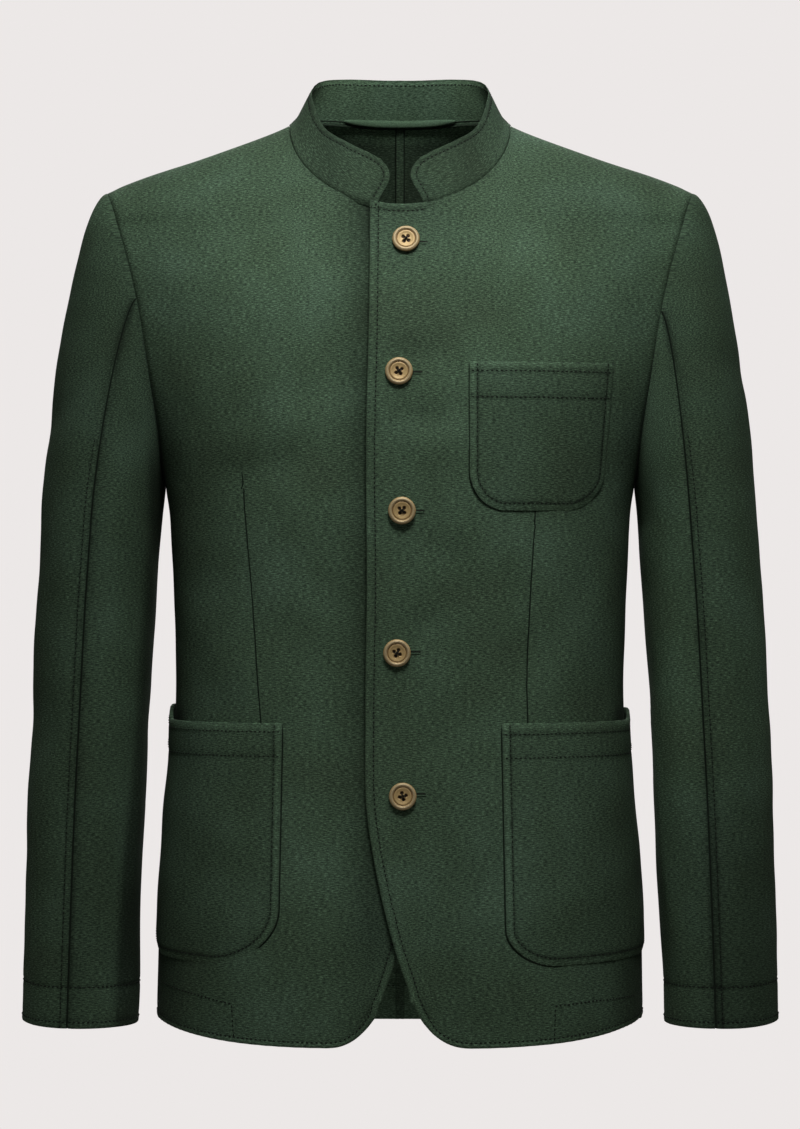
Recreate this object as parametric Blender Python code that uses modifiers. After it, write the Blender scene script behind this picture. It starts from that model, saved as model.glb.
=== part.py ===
"""A felted-wool jacket with a stand collar, patch pockets and five buttons, filled out as if worn.

Metres, +Z up. +X is the wearer's left, the front faces -Y, and the origin is at the middle of the neck base.
The body is one smooth form, cut along the seams. Each sewn piece is a wall of even thickness with its outer
face on that form, and neighbours stand a seam gap apart.
"""

import bmesh
import bpy
import numpy as np
from mathutils import Matrix, Vector

# Cloth
WALL = 0.0020
SEAM_GAP = 0.0003
LIFT = 0.0009  # clearance of a piece that lies on a panel
UNDERLAP = WALL + 0.0010  # how far the under front steps back to pass beneath the other

TUCK_FULL_X = 0.035
TUCK_END_X = 0.085
SLOPE_STEP = 0.004  # metres or radians between the points that a slope is read from

# Lengths of the body
HEM_Z = -0.722
SIDE_HEM_RISE = 0.014
UNDERARM_Z = -0.285
SHOULDER_Z = -0.051
SHOULDER_X = 0.2335
NECK_HALF = 0.0885
NECK_DROP_FRONT = 0.068
NECK_RISE_BACK = 0.010
SHOULDER_SLOPE = 0.361
NECK_MOUND = 0.075  # the shoulder roof runs up into the neck by this much at the middle
NECK_MOUND_SPREAD = 0.055
FRONT_ROLL = 0.130  # height over which the front rounds over to the shoulder seam
BACK_ROLL = 0.115
WIDTH_BLEND = 0.025
SQUARENESS = 2.4  # of a level section: 2 is an ellipse, more is boxier

# Armhole: an oval in side view
ARMHOLE_HALF_DEPTH = 0.066
ARMHOLE_SQUARENESS = 2.2
ARMHOLE_MID_Z = (UNDERARM_Z + SHOULDER_Z) / 2
ARMHOLE_HALF_HEIGHT = (SHOULDER_Z - UNDERARM_Z) / 2

# Cut-away corner of the fronts
CORNER_RISE = 0.036
CORNER_START_X = 0.011
CORNER_END_X = 0.060
CORNER_POWER = 2.2
NECK_OVERLAP_ANGLE = np.radians(195)  # the neckline passes the centre front by 15 degrees

# Sleeves
CUFF_Z = -0.710
BICEPS_Z = -0.320
FRONT_SEAM_STEP = 5  # armhole steps from the top to the front seam
BACK_SEAM_STEP = -6
SEAM_TWIST = 0.14  # the columns turn by this much between the armhole and the biceps
CAP_LEAVE_TOP = np.array([1.0, 0, -0.15])  # direction in which the sleeve leaves the armhole at the shoulder
CAP_LEAVE_UNDER = np.array([0.32, 0, -1.0])
CAP_START_PULL = 0.28
CAP_END_PULL = 1.10

# Grid of the panels
ARMHOLE_STEPS = 24
BODY_ROWS = 11
NECK_STEPS = 10
SHOULDER_STEPS = 5
CAP_ROWS = 8
HEM_CROWDING = 1.3  # over 1 draws rows and columns towards the cut-away corner
SLEEVE_ROWS = 12

# Collar
COLLAR_LIFT = 0.0009  # clearance over the neck seam
COLLAR_TOP_HALF = 0.0735
COLLAR_TOP_MID_Y = -0.010
COLLAR_TOP_HALF_DEPTH = 0.068

# Pockets
POCKET_STEPS = 10
CHEST_POCKET_X = 0.054
CHEST_POCKET_BOTTOM = -0.308
CHEST_POCKET_WIDTH = 0.110
CHEST_POCKET_HEIGHT = 0.115
CHEST_POCKET_RADIUS = 0.022
CHEST_POCKET_TAPER = 0.05
SIDE_POCKET_REAR_ANGLE = np.radians(95.4)  # just behind the side seam
SIDE_POCKET_BOTTOM = -0.659
SIDE_POCKET_WIDTH = 0.150
SIDE_POCKET_HEIGHT = 0.190
SIDE_POCKET_RADIUS = 0.045
SIDE_POCKET_REAR_RISE = 0.012
GAPE = 0.0032  # how far the mouth stands off, at its widest
GAPE_PLACE = 0.86  # share of the width, from the front edge
GAPE_SPREAD = 0.14
GAPE_DEPTH = 0.065

# Hanger loop and centre-back strip
LOOP_HALF_LENGTH = 0.046
LOOP_STEPS = 12
LOOP_HEIGHT = 0.006
LOOP_THICKNESS = 0.0018
LOOP_Z = 0.0125
LOOP_STAND_OFF = 0.0010  # where the collar leans in above it
TAPE_HALF_WIDTH = 0.0034
TAPE_THICKNESS = 0.0010

# Buttons
BUTTON_STEPS = 20
BUTTON_HOLE_RADIUS = 0.0011
BUTTON_HOLE_OFFSET = 0.0021
BUTTON_LIFT = 0.0005

BODY_SECTIONS = (
    dict(z=-0.740, half_width=0.1945, front=0.1190, back=0.1170),
    dict(z=-0.640, half_width=0.1925, front=0.1180, back=0.1150),
    dict(z=-0.560, half_width=0.1875, front=0.1150, back=0.1090),
    dict(z=-0.460, half_width=0.1790, front=0.1110, back=0.1010),
    dict(z=-0.380, half_width=0.1810, front=0.1130, back=0.1050),
    dict(z=-0.285, half_width=0.1860, front=0.1180, back=0.1150),
    dict(z=-0.200, half_width=0.1900, front=0.1170, back=0.1210),
    dict(z=-0.130, half_width=0.1900, front=0.1060, back=0.1180),
    dict(z=-0.065, half_width=0.1900, front=0.0860, back=0.1040),
    dict(z=0.020, half_width=0.1900, front=0.0640, back=0.0730),
)
ARMHOLE_EDGE = (
    dict(z=-0.285, x=0.1870),
    dict(z=-0.250, x=0.1890),
    dict(z=-0.190, x=0.1975),
    dict(z=-0.140, x=0.2055),
    dict(z=-0.112, x=0.2105),
    dict(z=-0.082, x=0.2190),
    dict(z=-0.051, x=SHOULDER_X),
)
FRONT_EDGE = (
    dict(z=-0.686, x=0.0110),
    dict(z=-0.658, x=-0.0010),
    dict(z=-0.639, x=-0.0073),
    dict(z=-0.611, x=-0.0145),
    dict(z=-0.583, x=-0.0203),
    dict(z=-0.540, x=-0.0262),
    dict(z=-0.480, x=-0.0255),
    dict(z=-0.300, x=-0.0235),
    dict(z=-0.060, x=-0.0229),
)
SLEEVE_SECTIONS = (
    dict(z=-0.710, outer=0.3020, inner=0.2100, depth=0.0510, mid_y=-0.0200),
    dict(z=-0.620, outer=0.2992, inner=0.2066, depth=0.0560, mid_y=-0.0150),
    dict(z=-0.540, outer=0.2970, inner=0.2028, depth=0.0610, mid_y=-0.0080),
    dict(z=-0.460, outer=0.2938, inner=0.1992, depth=0.0660, mid_y=-0.0020),
    dict(z=-0.380, outer=0.2906, inner=0.1948, depth=0.0700, mid_y=0.0000),
    dict(z=-0.320, outer=0.2872, inner=0.1902, depth=0.0730, mid_y=0.0000),
)
COLLAR_TOP = (
    dict(angle=0, z=0.0490),
    dict(angle=40, z=0.0470),
    dict(angle=75, z=0.0400),
    dict(angle=100, z=0.0255),
    dict(angle=123, z=0.0010),
    dict(angle=145, z=-0.0160),
    dict(angle=162, z=-0.0270),
    dict(angle=180, z=-0.0390),
)
COLLAR_END = (
    dict(share=0.00, angle=167.5),
    dict(share=0.30, angle=170.0),
    dict(share=0.55, angle=172.3),
    dict(share=0.75, angle=173.6),
    dict(share=0.88, angle=173.4),
    dict(share=0.96, angle=171.8),
    dict(share=1.00, angle=169.0),
)
BUTTONS = (
    dict(name="button_1", x=0.0039, z=-0.0960),
    dict(name="button_2", x=-0.0008, z=-0.1990),
    dict(name="button_3", x=0.0015, z=-0.3060),
    dict(name="button_4", x=-0.0023, z=-0.4170),
    dict(name="button_5", x=0.0015, z=-0.5270),
)
SIDE_POCKETS = (
    dict(name="pocket_left", mirror=False, front_x=0.0810),
    dict(name="pocket_right", mirror=True, front_x=0.0930),
)
BUTTON_PROFILE = (
    dict(radius=0.0000, height=0.0022),
    dict(radius=0.0056, height=0.0023),
    dict(radius=0.0066, height=0.0019),
    dict(radius=0.0077, height=0.0032),
    dict(radius=0.0095, height=0.0046),
    dict(radius=0.0109, height=0.0041),
    dict(radius=0.0115, height=0.0027),
    dict(radius=0.0110, height=0.0010),
    dict(radius=0.0090, height=0.0000),
    dict(radius=0.0000, height=0.0000),
)
FINISHES = {
    "felted_wool": dict(color=(0.050, 0.075, 0.052), roughness=0.95, metallic=0.0),
    "antique_brass": dict(color=(0.240, 0.180, 0.080), roughness=0.42, metallic=0.9),
}


def column(table, name):
    return np.array([row[name] for row in table], float)


def smooth(table, key, name, at):
    """A column of a table read between its rows, on a curve without corners."""
    knots = column(table, key)
    values = column(table, name)
    slopes = np.gradient(values, knots)
    at = np.clip(at, knots[0], knots[-1])
    left = np.clip(np.searchsorted(knots, at, side="right") - 1, 0, len(knots) - 2)
    width = knots[left + 1] - knots[left]
    t = (at - knots[left]) / width
    rise = values[left + 1] - values[left]
    ends = slopes[left] * width * t * (1 - t) ** 2 - slopes[left + 1] * width * t**2 * (1 - t)
    return values[left] + rise * t**2 * (3 - 2 * t) + ends


def ease(share):
    share = np.clip(share, 0, 1)
    return share**2 * (3 - 2 * share)


def signed_power(value, power):
    return np.sign(value) * np.abs(value) ** power


def unit(vectors):
    return vectors / np.linalg.norm(vectors, axis=-1, keepdims=True)


# The body's form


def shoulder_height(x):
    """Height of the shoulder seam, and of the roof's continuation over the neck."""
    mound = NECK_MOUND * np.exp(-((x / NECK_MOUND_SPREAD) ** 2))
    return SHOULDER_Z + SHOULDER_SLOPE * (SHOULDER_X - np.abs(x)) + mound


def roll_over(x, z, height):
    """Share of the full depth: a quarter ellipse that reaches nought at the shoulder seam."""
    share = np.clip((shoulder_height(x) - z) / height, 0, 1)
    return np.sqrt(1 - (1 - share) ** 2)


def armhole_depth(z):
    level = np.clip(np.abs((z - ARMHOLE_MID_Z) / ARMHOLE_HALF_HEIGHT), 0, 1)
    return ARMHOLE_HALF_DEPTH * (1 - level**ARMHOLE_SQUARENESS) ** (1 / ARMHOLE_SQUARENESS)


def section_width(z, depth_name, roll):
    """Half-width of the level section, set above the underarm so that the form meets the armhole oval."""
    below = smooth(BODY_SECTIONS, "z", "half_width", z)
    level = np.clip(z, UNDERARM_Z, SHOULDER_Z - 0.001)
    reach = smooth(ARMHOLE_EDGE, "z", "x", level)
    full = smooth(BODY_SECTIONS, "z", depth_name, level) * roll_over(reach, level, roll)
    share = armhole_depth(level) / full
    above = reach / (1 - share**SQUARENESS) ** (1 / SQUARENESS)
    return np.where(z < UNDERARM_Z, below, above)


def body_half(z, front):
    """Half-width averaged over a short height, so that no crease runs round the body at the underarm."""
    depth_name, roll = ("front", FRONT_ROLL) if front else ("back", BACK_ROLL)
    near = WIDTH_BLEND * np.linspace(-1, 1, 9)
    return np.mean([section_width(z + step, depth_name, roll) for step in near], axis=0)


def angle_at(x, z, front):
    """Angle round the section, 0 at the middle and 90 degrees at the side, of the point at this x."""
    share = np.clip(x / body_half(z, front), -1, 1)
    return np.arcsin(signed_power(share, SQUARENESS / 2))


def edge_angle(z, front):
    """Angle at which the panel ends: the side seam, or the armhole above the underarm."""
    level = np.clip(z, UNDERARM_Z, SHOULDER_Z - 0.001)
    cut = angle_at(smooth(ARMHOLE_EDGE, "z", "x", level), level, front)
    return np.where(z < UNDERARM_Z, np.pi / 2, cut)


def body_point(angle, z, front):
    depth = smooth(BODY_SECTIONS, "z", "front" if front else "back", z)
    x = body_half(z, front) * signed_power(np.sin(angle), 2 / SQUARENESS)
    y = depth * np.abs(np.cos(angle)) ** (2 / SQUARENESS)
    y = y * roll_over(x, z, FRONT_ROLL if front else BACK_ROLL)
    return np.stack([x, -y if front else y, z + 0 * x], axis=-1)


def armhole_loop():
    """Points and outward directions of the left armhole seam, from the shoulder forward and round."""
    turn = np.linspace(0, 2 * np.pi, ARMHOLE_STEPS, endpoint=False)
    z = ARMHOLE_MID_Z + ARMHOLE_HALF_HEIGHT * signed_power(np.cos(turn), 2 / ARMHOLE_SQUARENESS)
    y = -ARMHOLE_HALF_DEPTH * signed_power(np.sin(turn), 2 / ARMHOLE_SQUARENESS)
    points = np.stack([smooth(ARMHOLE_EDGE, "z", "x", z), y, z], axis=-1)
    along = np.roll(points, -1, axis=0) - np.roll(points, 1, axis=0)
    outward = np.stack([0 * y, along[:, 2], -along[:, 1]], axis=-1)
    return points, unit(outward)


def hem_height(x, z_half):
    """Height of the hem, which rises at the sides and up the cut-away corner."""
    side = SIDE_HEM_RISE * np.clip(np.abs(x) / z_half, 0, 1) ** 4
    share = np.clip((CORNER_END_X - x) / (CORNER_END_X - CORNER_START_X), 0, 1)
    return HEM_Z + side, CORNER_RISE * share**CORNER_POWER


def neckline(angle):
    """Left neckline from the back (0) over the shoulder (90 degrees) to the front (180 degrees)."""
    x = NECK_HALF * np.sin(angle)
    drop = np.where(np.cos(angle) > 0, NECK_RISE_BACK, NECK_DROP_FRONT)
    return x, shoulder_height(NECK_HALF) + drop * np.cos(angle)


def neck_angles(front):
    return np.linspace(NECK_OVERLAP_ANGLE if front else 0, np.pi / 2, NECK_STEPS + 1)


def row_heights(hem_z, top_z):
    """Heights of the panel rows: from the hem to the underarm, then in step with the armhole's points."""
    low = np.linspace(0, 1, BODY_ROWS, endpoint=False)[:, None] ** HEM_CROWDING
    armhole = armhole_loop()[0][ARMHOLE_STEPS // 2 :: -1, 2]
    high = ((armhole - UNDERARM_Z) / (SHOULDER_Z - UNDERARM_Z))[:, None]
    return np.concatenate([hem_z + (UNDERARM_Z - hem_z) * low, UNDERARM_Z + (top_z - UNDERARM_Z) * high])


def panel_grid(front):
    """Outer points and normals of the left front or left back, rows from the hem up, columns to the side."""
    neck_x, neck_z = neckline(neck_angles(front))
    seam_x = np.linspace(NECK_HALF, SHOULDER_X, SHOULDER_STEPS + 1)[1:]
    top_x = np.concatenate([neck_x, seam_x])
    top_z = np.concatenate([neck_z, shoulder_height(seam_x)])
    top_z[-1] = SHOULDER_Z

    def inner_angle(z):
        if front:
            return angle_at(smooth(FRONT_EDGE, "z", "x", z), z, True)
        return 0 * z

    inner = inner_angle(top_z)
    top_share = (angle_at(top_x, top_z, front) - inner) / (edge_angle(top_z, front) - inner)
    top_share[-1] = 1
    low_share = np.linspace(0, 1, len(top_x)) ** HEM_CROWDING

    # Two passes settle the hem, whose height depends on where its points lie across
    hem_z = np.full(len(top_x), HEM_Z)
    for _ in range(2):
        start = inner_angle(np.maximum(hem_z, HEM_Z + CORNER_RISE))
        across = body_point(start + low_share * (np.pi / 2 - start), hem_z, front)[:, 0]
        level, corner = hem_height(across, body_half(hem_z, front))
        hem_z = level + corner if front else level

    z = row_heights(hem_z, top_z)
    share = low_share + (top_share - low_share) * ease((z - hem_z) / (top_z - hem_z))
    start = inner_angle(z)
    angle = start + share * (edge_angle(z, front) - start)
    points = body_point(angle, z, front)

    across = np.gradient(points, axis=1)
    upward = np.gradient(points, axis=0)
    normals = unit(np.cross(across, upward) if front else np.cross(upward, across))
    finish_edges(points, normals, front)
    return points, normals


def finish_edges(points, normals, front):
    """Sets the panel's seam edges on the seams, half a gap back, with the rim square to the seam."""
    side = -1 if front else 1
    loop, outward = armhole_loop()
    half = ARMHOLE_STEPS // 2
    steps = np.arange(half, -1, -1) if front else np.arange(half, ARMHOLE_STEPS + 1) % ARMHOLE_STEPS
    points[BODY_ROWS:, -1] = loop[steps]
    flat = [(slice(None, BODY_ROWS), -1), (-1, slice(NECK_STEPS, None))]
    for place in flat:
        normals[place][..., 1] = 0
    if not front:
        normals[:, 0, 0] = 0
        points[:, 0, 0] = SEAM_GAP / 2
    normals[-1, -SHOULDER_STEPS:] += (0, 0, 1)
    normals[BODY_ROWS:, -1] = outward[steps]
    normals[:] = unit(normals)
    points[..., 1] = side * np.maximum(side * points[..., 1], SEAM_GAP / 2)


def mirrored(points):
    return points * (-1, 1, 1)


def tuck(x):
    """Share of the underlap: full under the other front, none past the bust."""
    return 1 - ease((x - TUCK_FULL_X) / (TUCK_END_X - TUCK_FULL_X))


# Meshes


def finish_material(name):
    finish = FINISHES[name]
    material = bpy.data.materials.new(name)
    material.use_nodes = True
    shader = material.node_tree.nodes["Principled BSDF"]
    shader.inputs["Base Color"].default_value = (*finish["color"], 1)
    shader.inputs["Roughness"].default_value = finish["roughness"]
    shader.inputs["Metallic"].default_value = finish["metallic"]
    return material


def add_object(name, mesh, collection, finish):
    mesh.materials.append(finish_material(finish))
    mesh.shade_smooth()
    mesh.set_sharp_from_angle(angle=np.radians(40))
    piece = bpy.data.objects.new(name, mesh)
    collection.objects.link(piece)
    return piece


def add_wall(name, outer, normals, thickness, collection):
    """A closed wall lofted between a grid of outer points and the same grid set in by the thickness."""
    rows, columns = outer.shape[:2]
    inner = outer - thickness * normals
    points = np.concatenate([outer.reshape(-1, 3), inner.reshape(-1, 3)])
    index = np.arange(rows * columns).reshape(rows, columns)
    quads = np.stack([index[:-1, :-1], index[:-1, 1:], index[1:, 1:], index[1:, :-1]], axis=-1)
    quads = quads.reshape(-1, 4)
    border = np.concatenate([index[0, :-1], index[:-1, -1], index[-1, :0:-1], index[:0:-1, 0]])
    after = np.roll(border, -1)
    shift = rows * columns
    rim = np.stack([after, border, border + shift, after + shift], axis=-1)
    faces = np.concatenate([quads, quads[:, ::-1] + shift, rim])
    mesh = bpy.data.meshes.new(name)
    mesh.from_pydata(points.tolist(), [], faces.tolist())
    solid = bmesh.new()
    solid.from_mesh(mesh)
    bmesh.ops.recalc_face_normals(solid, faces=solid.faces)
    solid.to_mesh(mesh)
    solid.free()
    return add_object(name, mesh, collection, "felted_wool")


def add_body(collection):
    front, front_normals = panel_grid(True)
    add_wall("front_left", front, front_normals, WALL, collection)
    stepped = front - UNDERLAP * tuck(front[..., :1]) * front_normals
    add_wall("front_right", mirrored(stepped), mirrored(front_normals), WALL, collection)
    back, back_normals = panel_grid(False)
    add_wall("back_left", back, back_normals, WALL, collection)
    add_wall("back_right", mirrored(back), mirrored(back_normals), WALL, collection)


# Sleeves


def sleeve_ring(turn, z):
    outer = smooth(SLEEVE_SECTIONS, "z", "outer", z)
    inner = smooth(SLEEVE_SECTIONS, "z", "inner", z)
    x = (outer + inner) / 2 + (outer - inner) / 2 * np.cos(turn)
    y = smooth(SLEEVE_SECTIONS, "z", "mid_y", z) - smooth(SLEEVE_SECTIONS, "z", "depth", z) * np.sin(turn)
    return np.stack([x, y, z + 0 * x], axis=-1)


def sleeve_grid():
    """Outer points and normals of the left sleeve, rows from the armhole down, columns round it."""
    loop, outward = armhole_loop()
    start = loop + (SEAM_GAP, 0, 0)
    turn = np.linspace(0, 2 * np.pi, ARMHOLE_STEPS, endpoint=False)
    turn = turn + SEAM_TWIST * np.sin(turn) * np.abs(np.sin(turn))
    biceps = sleeve_ring(turn, np.full(len(turn), BICEPS_Z))
    chord = np.linalg.norm(biceps - start, axis=1, keepdims=True)
    top = ((1 + np.cos(turn)) / 2)[:, None]
    leave = unit(CAP_LEAVE_TOP * top + CAP_LEAVE_UNDER * (1 - top))
    below = sleeve_ring(turn, np.full(len(turn), BICEPS_Z - SLOPE_STEP))
    slope = unit(below - biceps)
    t = np.linspace(0, 1, CAP_ROWS + 1)[:, None, None]
    cap = (
        start * (1 + 2 * t) * (1 - t) ** 2
        + biceps * t**2 * (3 - 2 * t)
        + leave * CAP_START_PULL * chord * t * (1 - t) ** 2
        - slope * CAP_END_PULL * chord * t**2 * (1 - t)
    )
    levels = np.linspace(BICEPS_Z, CUFF_Z, SLEEVE_ROWS + 1)[1:, None]
    tube = sleeve_ring(turn[None, :], levels)
    points = np.concatenate([cap, tube])
    around = np.roll(points, -1, axis=1) - np.roll(points, 1, axis=1)
    downward = np.gradient(points, axis=0)
    normals = unit(np.cross(around, downward))
    normals[0] = outward
    return points, normals


def add_sleeves(collection):
    points, normals = sleeve_grid()
    pieces = {
        "upper_sleeve": np.arange(BACK_SEAM_STEP, FRONT_SEAM_STEP + 1),
        "under_sleeve": np.arange(FRONT_SEAM_STEP, ARMHOLE_STEPS + BACK_SEAM_STEP + 1),
    }
    for name, steps in pieces.items():
        outer = points[:, steps % ARMHOLE_STEPS].copy()
        facing = normals[:, steps % ARMHOLE_STEPS]
        outer[:, 0] += SEAM_GAP / 2 * unit(outer[:, 1] - outer[:, 0])
        outer[:, -1] += SEAM_GAP / 2 * unit(outer[:, -2] - outer[:, -1])
        add_wall(name + "_left", outer, facing, WALL, collection)
        add_wall(name + "_right", mirrored(outer), mirrored(facing), WALL, collection)


# Collar


def collar_base(angle):
    """Point of the neckline at a signed angle from the centre back, on the panels' form."""
    x, z = neckline(np.abs(angle))
    front = body_point(angle_at(x, z, True), z, True)
    back = body_point(angle_at(x, z, False), z, False)
    point = np.where((np.abs(angle) > np.pi / 2)[..., None], front, back)
    return point * np.stack([np.sign(angle), 1 + 0 * angle, 1 + 0 * angle], axis=-1)


def neck_rim(steps):
    """Directions in which the panels' neck edges face, from the right front round to the left front."""
    front = panel_grid(True)[1][-1, NECK_STEPS - 1 :: -1]
    back = panel_grid(False)[1][-1, : NECK_STEPS + 1]
    left = np.concatenate([back, front])[: steps + 1]
    return np.concatenate([mirrored(left[:0:-1]), left])


def collar_grid():
    shares = column(COLLAR_END, "share")
    ends = np.radians(column(COLLAR_END, "angle"))
    half = np.concatenate([neck_angles(False)[1:], neck_angles(True)[-2::-1]])
    half = np.append(half[half < ends[0]], ends[0])
    across = np.concatenate([-half[::-1], [0], half]) / ends[0]
    angle = ends[:, None] * across
    base = collar_base(angle)
    top = np.stack(
        [
            COLLAR_TOP_HALF * np.sin(angle),
            COLLAR_TOP_MID_Y + COLLAR_TOP_HALF_DEPTH * np.cos(angle),
            smooth(COLLAR_TOP, "angle", "z", np.degrees(np.abs(angle))),
        ],
        axis=-1,
    )
    points = base + (top - base) * shares[:, None, None]
    normals = unit(np.cross(np.gradient(points, axis=0), np.gradient(points, axis=1)))
    normals[0] = neck_rim(len(half))
    points = points + COLLAR_LIFT * unit(top - base)
    step = np.where(angle < -np.pi / 2, tuck(NECK_HALF * np.abs(np.sin(angle))), 0)
    return points - UNDERLAP * step[..., None] * normals, normals


def add_collar(collection):
    points, normals = collar_grid()
    add_wall("collar", points, normals, WALL, collection)


# Pockets


def patch(angles, heights):
    """Points and normals of the body's form at a grid of angles, which may run round the side to the back."""

    def form(angle, z):
        return np.where(
            (angle < np.pi / 2)[..., None],
            body_point(angle, z, True),
            body_point(np.pi - angle, z, False),
        )

    points = form(angles, heights)
    around = form(angles + SLOPE_STEP, heights) - form(angles - SLOPE_STEP, heights)
    upward = form(angles, heights + SLOPE_STEP) - form(angles, heights - SLOPE_STEP)
    return points, unit(np.cross(around, upward))


def add_patch_pocket(name, mirror, angles, heights, gape, collection):
    points, normals = patch(angles, heights)
    outer = points + (LIFT + WALL + gape[..., None]) * normals
    flip = mirrored if mirror else np.array
    add_wall(name, flip(outer), flip(normals), WALL, collection)


def rounded_outline(width, height, radius):
    """Grid of a pocket from its bottom edge up. Its lower corners are arcs, met at their middles."""
    across = (1 - np.cos(np.linspace(0, np.pi, POCKET_STEPS + 1))[None, :]) / 2
    up = 1 - np.cos(np.linspace(0, np.pi / 2, POCKET_STEPS + 1))[:, None]
    corner = radius * (1 - np.sqrt(0.5))

    def arc(run):
        return radius - np.sqrt(radius**2 - np.clip(radius - run, 0, radius) ** 2)

    along = corner + across * (width - 2 * corner)
    bottom = arc(np.minimum(along, width - along))
    side = arc(corner + up * (height - corner))
    return side + across * (width - 2 * side), bottom + up * (height - bottom)


def add_chest_pocket(collection):
    x, up = rounded_outline(CHEST_POCKET_WIDTH, CHEST_POCKET_HEIGHT, CHEST_POCKET_RADIUS)
    taper = 1 - CHEST_POCKET_TAPER * (1 - up / CHEST_POCKET_HEIGHT)
    z = CHEST_POCKET_BOTTOM + up
    angles = angle_at(CHEST_POCKET_X + x * taper, z, True)
    add_patch_pocket("pocket_chest", False, angles, z, 0 * z, collection)


def add_side_pockets(collection):
    """Pockets laid out along the angle round the body, from their front edge to just behind the side seam."""
    across, up = rounded_outline(SIDE_POCKET_WIDTH, SIDE_POCKET_HEIGHT, SIDE_POCKET_RADIUS)
    share = across / SIDE_POCKET_WIDTH
    z = SIDE_POCKET_BOTTOM + up + SIDE_POCKET_REAR_RISE * share
    mouth = np.clip(1 - (SIDE_POCKET_HEIGHT - up) / GAPE_DEPTH, 0, 1) ** 2
    gape = GAPE * mouth * np.exp(-(((share - GAPE_PLACE) / GAPE_SPREAD) ** 2))
    for row in SIDE_POCKETS:
        start = angle_at(np.array(row["front_x"]), np.array(SIDE_POCKET_BOTTOM), True)
        angles = start + share * (SIDE_POCKET_REAR_ANGLE - start)
        add_patch_pocket(row["name"], row["mirror"], angles, z, gape, collection)


# Inside the back neck


def add_hanger_loop(collection):
    x = np.linspace(-LOOP_HALF_LENGTH, LOOP_HALF_LENGTH, LOOP_STEPS + 1)[None, :]
    z = LOOP_Z + np.array([-0.5, 0, 0.5])[:, None] * LOOP_HEIGHT
    base = collar_base(np.arcsin(x[0] / NECK_HALF))
    y = np.broadcast_to(base[:, 1] - WALL - LIFT - LOOP_STAND_OFF, z.shape[:1] + x.shape[1:])
    outer = np.stack([np.broadcast_to(x, y.shape), y, np.broadcast_to(z, y.shape)], axis=-1)
    facing = np.zeros_like(outer)
    facing[..., 1] = 1
    add_wall("hanger_loop", outer, facing, LOOP_THICKNESS, collection)


def add_back_tape(collection):
    back, normals = panel_grid(False)
    spine = back[:-1, 0] - (WALL + LIFT) * normals[:-1, 0]
    across = np.array([TAPE_HALF_WIDTH, 0, -TAPE_HALF_WIDTH])
    outer = np.repeat(spine[:, None, :], len(across), axis=1)
    outer[..., 0] = across
    facing = np.repeat(normals[:-1, :1], len(across), axis=1)
    add_wall("back_seam_tape", outer, facing, TAPE_THICKNESS, collection)


# Buttons


def button_mesh(cutters):
    """A turned button with a raised rim and four thread holes, its back on the XY plane."""
    profile = bpy.data.meshes.new("button_profile")
    spots = [(row["radius"], 0, row["height"]) for row in BUTTON_PROFILE]
    profile.from_pydata(spots, [(i, i + 1) for i in range(len(spots) - 1)], [])
    turned = bpy.data.objects.new("button_blank", profile)
    cutters.objects.link(turned)
    screw = turned.modifiers.new("turn", "SCREW")
    screw.steps = BUTTON_STEPS
    screw.render_steps = BUTTON_STEPS
    screw.use_merge_vertices = True
    screw.merge_threshold = 0.00005
    for number in range(4):
        angle = np.radians(45 + 90 * number)
        place = BUTTON_HOLE_OFFSET * Vector((np.cos(angle), np.sin(angle), 0))
        bpy.ops.mesh.primitive_cylinder_add(vertices=8, radius=BUTTON_HOLE_RADIUS, depth=0.02, location=place)
        hole = bpy.context.object
        hole.name = f"button_hole_{number + 1}"
        hole.hide_render = True
        hole.display_type = "WIRE"
        for held in list(hole.users_collection):
            held.objects.unlink(hole)
        cutters.objects.link(hole)
        cut = turned.modifiers.new(hole.name, "BOOLEAN")
        cut.operation = "DIFFERENCE"
        cut.object = hole
    turned.hide_render = True
    turned.display_type = "WIRE"
    bpy.context.view_layer.update()
    graph = bpy.context.evaluated_depsgraph_get()
    return bpy.data.meshes.new_from_object(turned.evaluated_get(graph))


def add_buttons(collection, cutters):
    mesh = button_mesh(cutters)
    mesh.materials.clear()
    mesh.materials.append(finish_material("antique_brass"))
    mesh.shade_smooth()
    mesh.set_sharp_from_angle(angle=np.radians(40))
    for row in BUTTONS:
        z = np.array([row["z"]])
        point, normal = patch(angle_at(np.array([row["x"]]), z, True), z)
        outward = Vector(normal[0])
        button = bpy.data.objects.new(row["name"], mesh)
        turn = Vector((0, 0, 1)).rotation_difference(outward).to_matrix().to_4x4()
        place = Vector(point[0]) + BUTTON_LIFT * outward
        button.matrix_world = Matrix.Translation(place) @ turn
        collection.objects.link(button)


def main():
    for item in list(bpy.data.objects):
        bpy.data.objects.remove(item)
    jacket = bpy.data.collections.new("trachten_jacket")
    cutters = bpy.data.collections.new("cutters")
    bpy.context.scene.collection.children.link(jacket)
    bpy.context.scene.collection.children.link(cutters)
    add_body(jacket)
    add_sleeves(jacket)
    add_collar(jacket)
    add_chest_pocket(jacket)
    add_side_pockets(jacket)
    add_hanger_loop(jacket)
    add_back_tape(jacket)
    add_buttons(jacket, cutters)


main()
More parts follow.
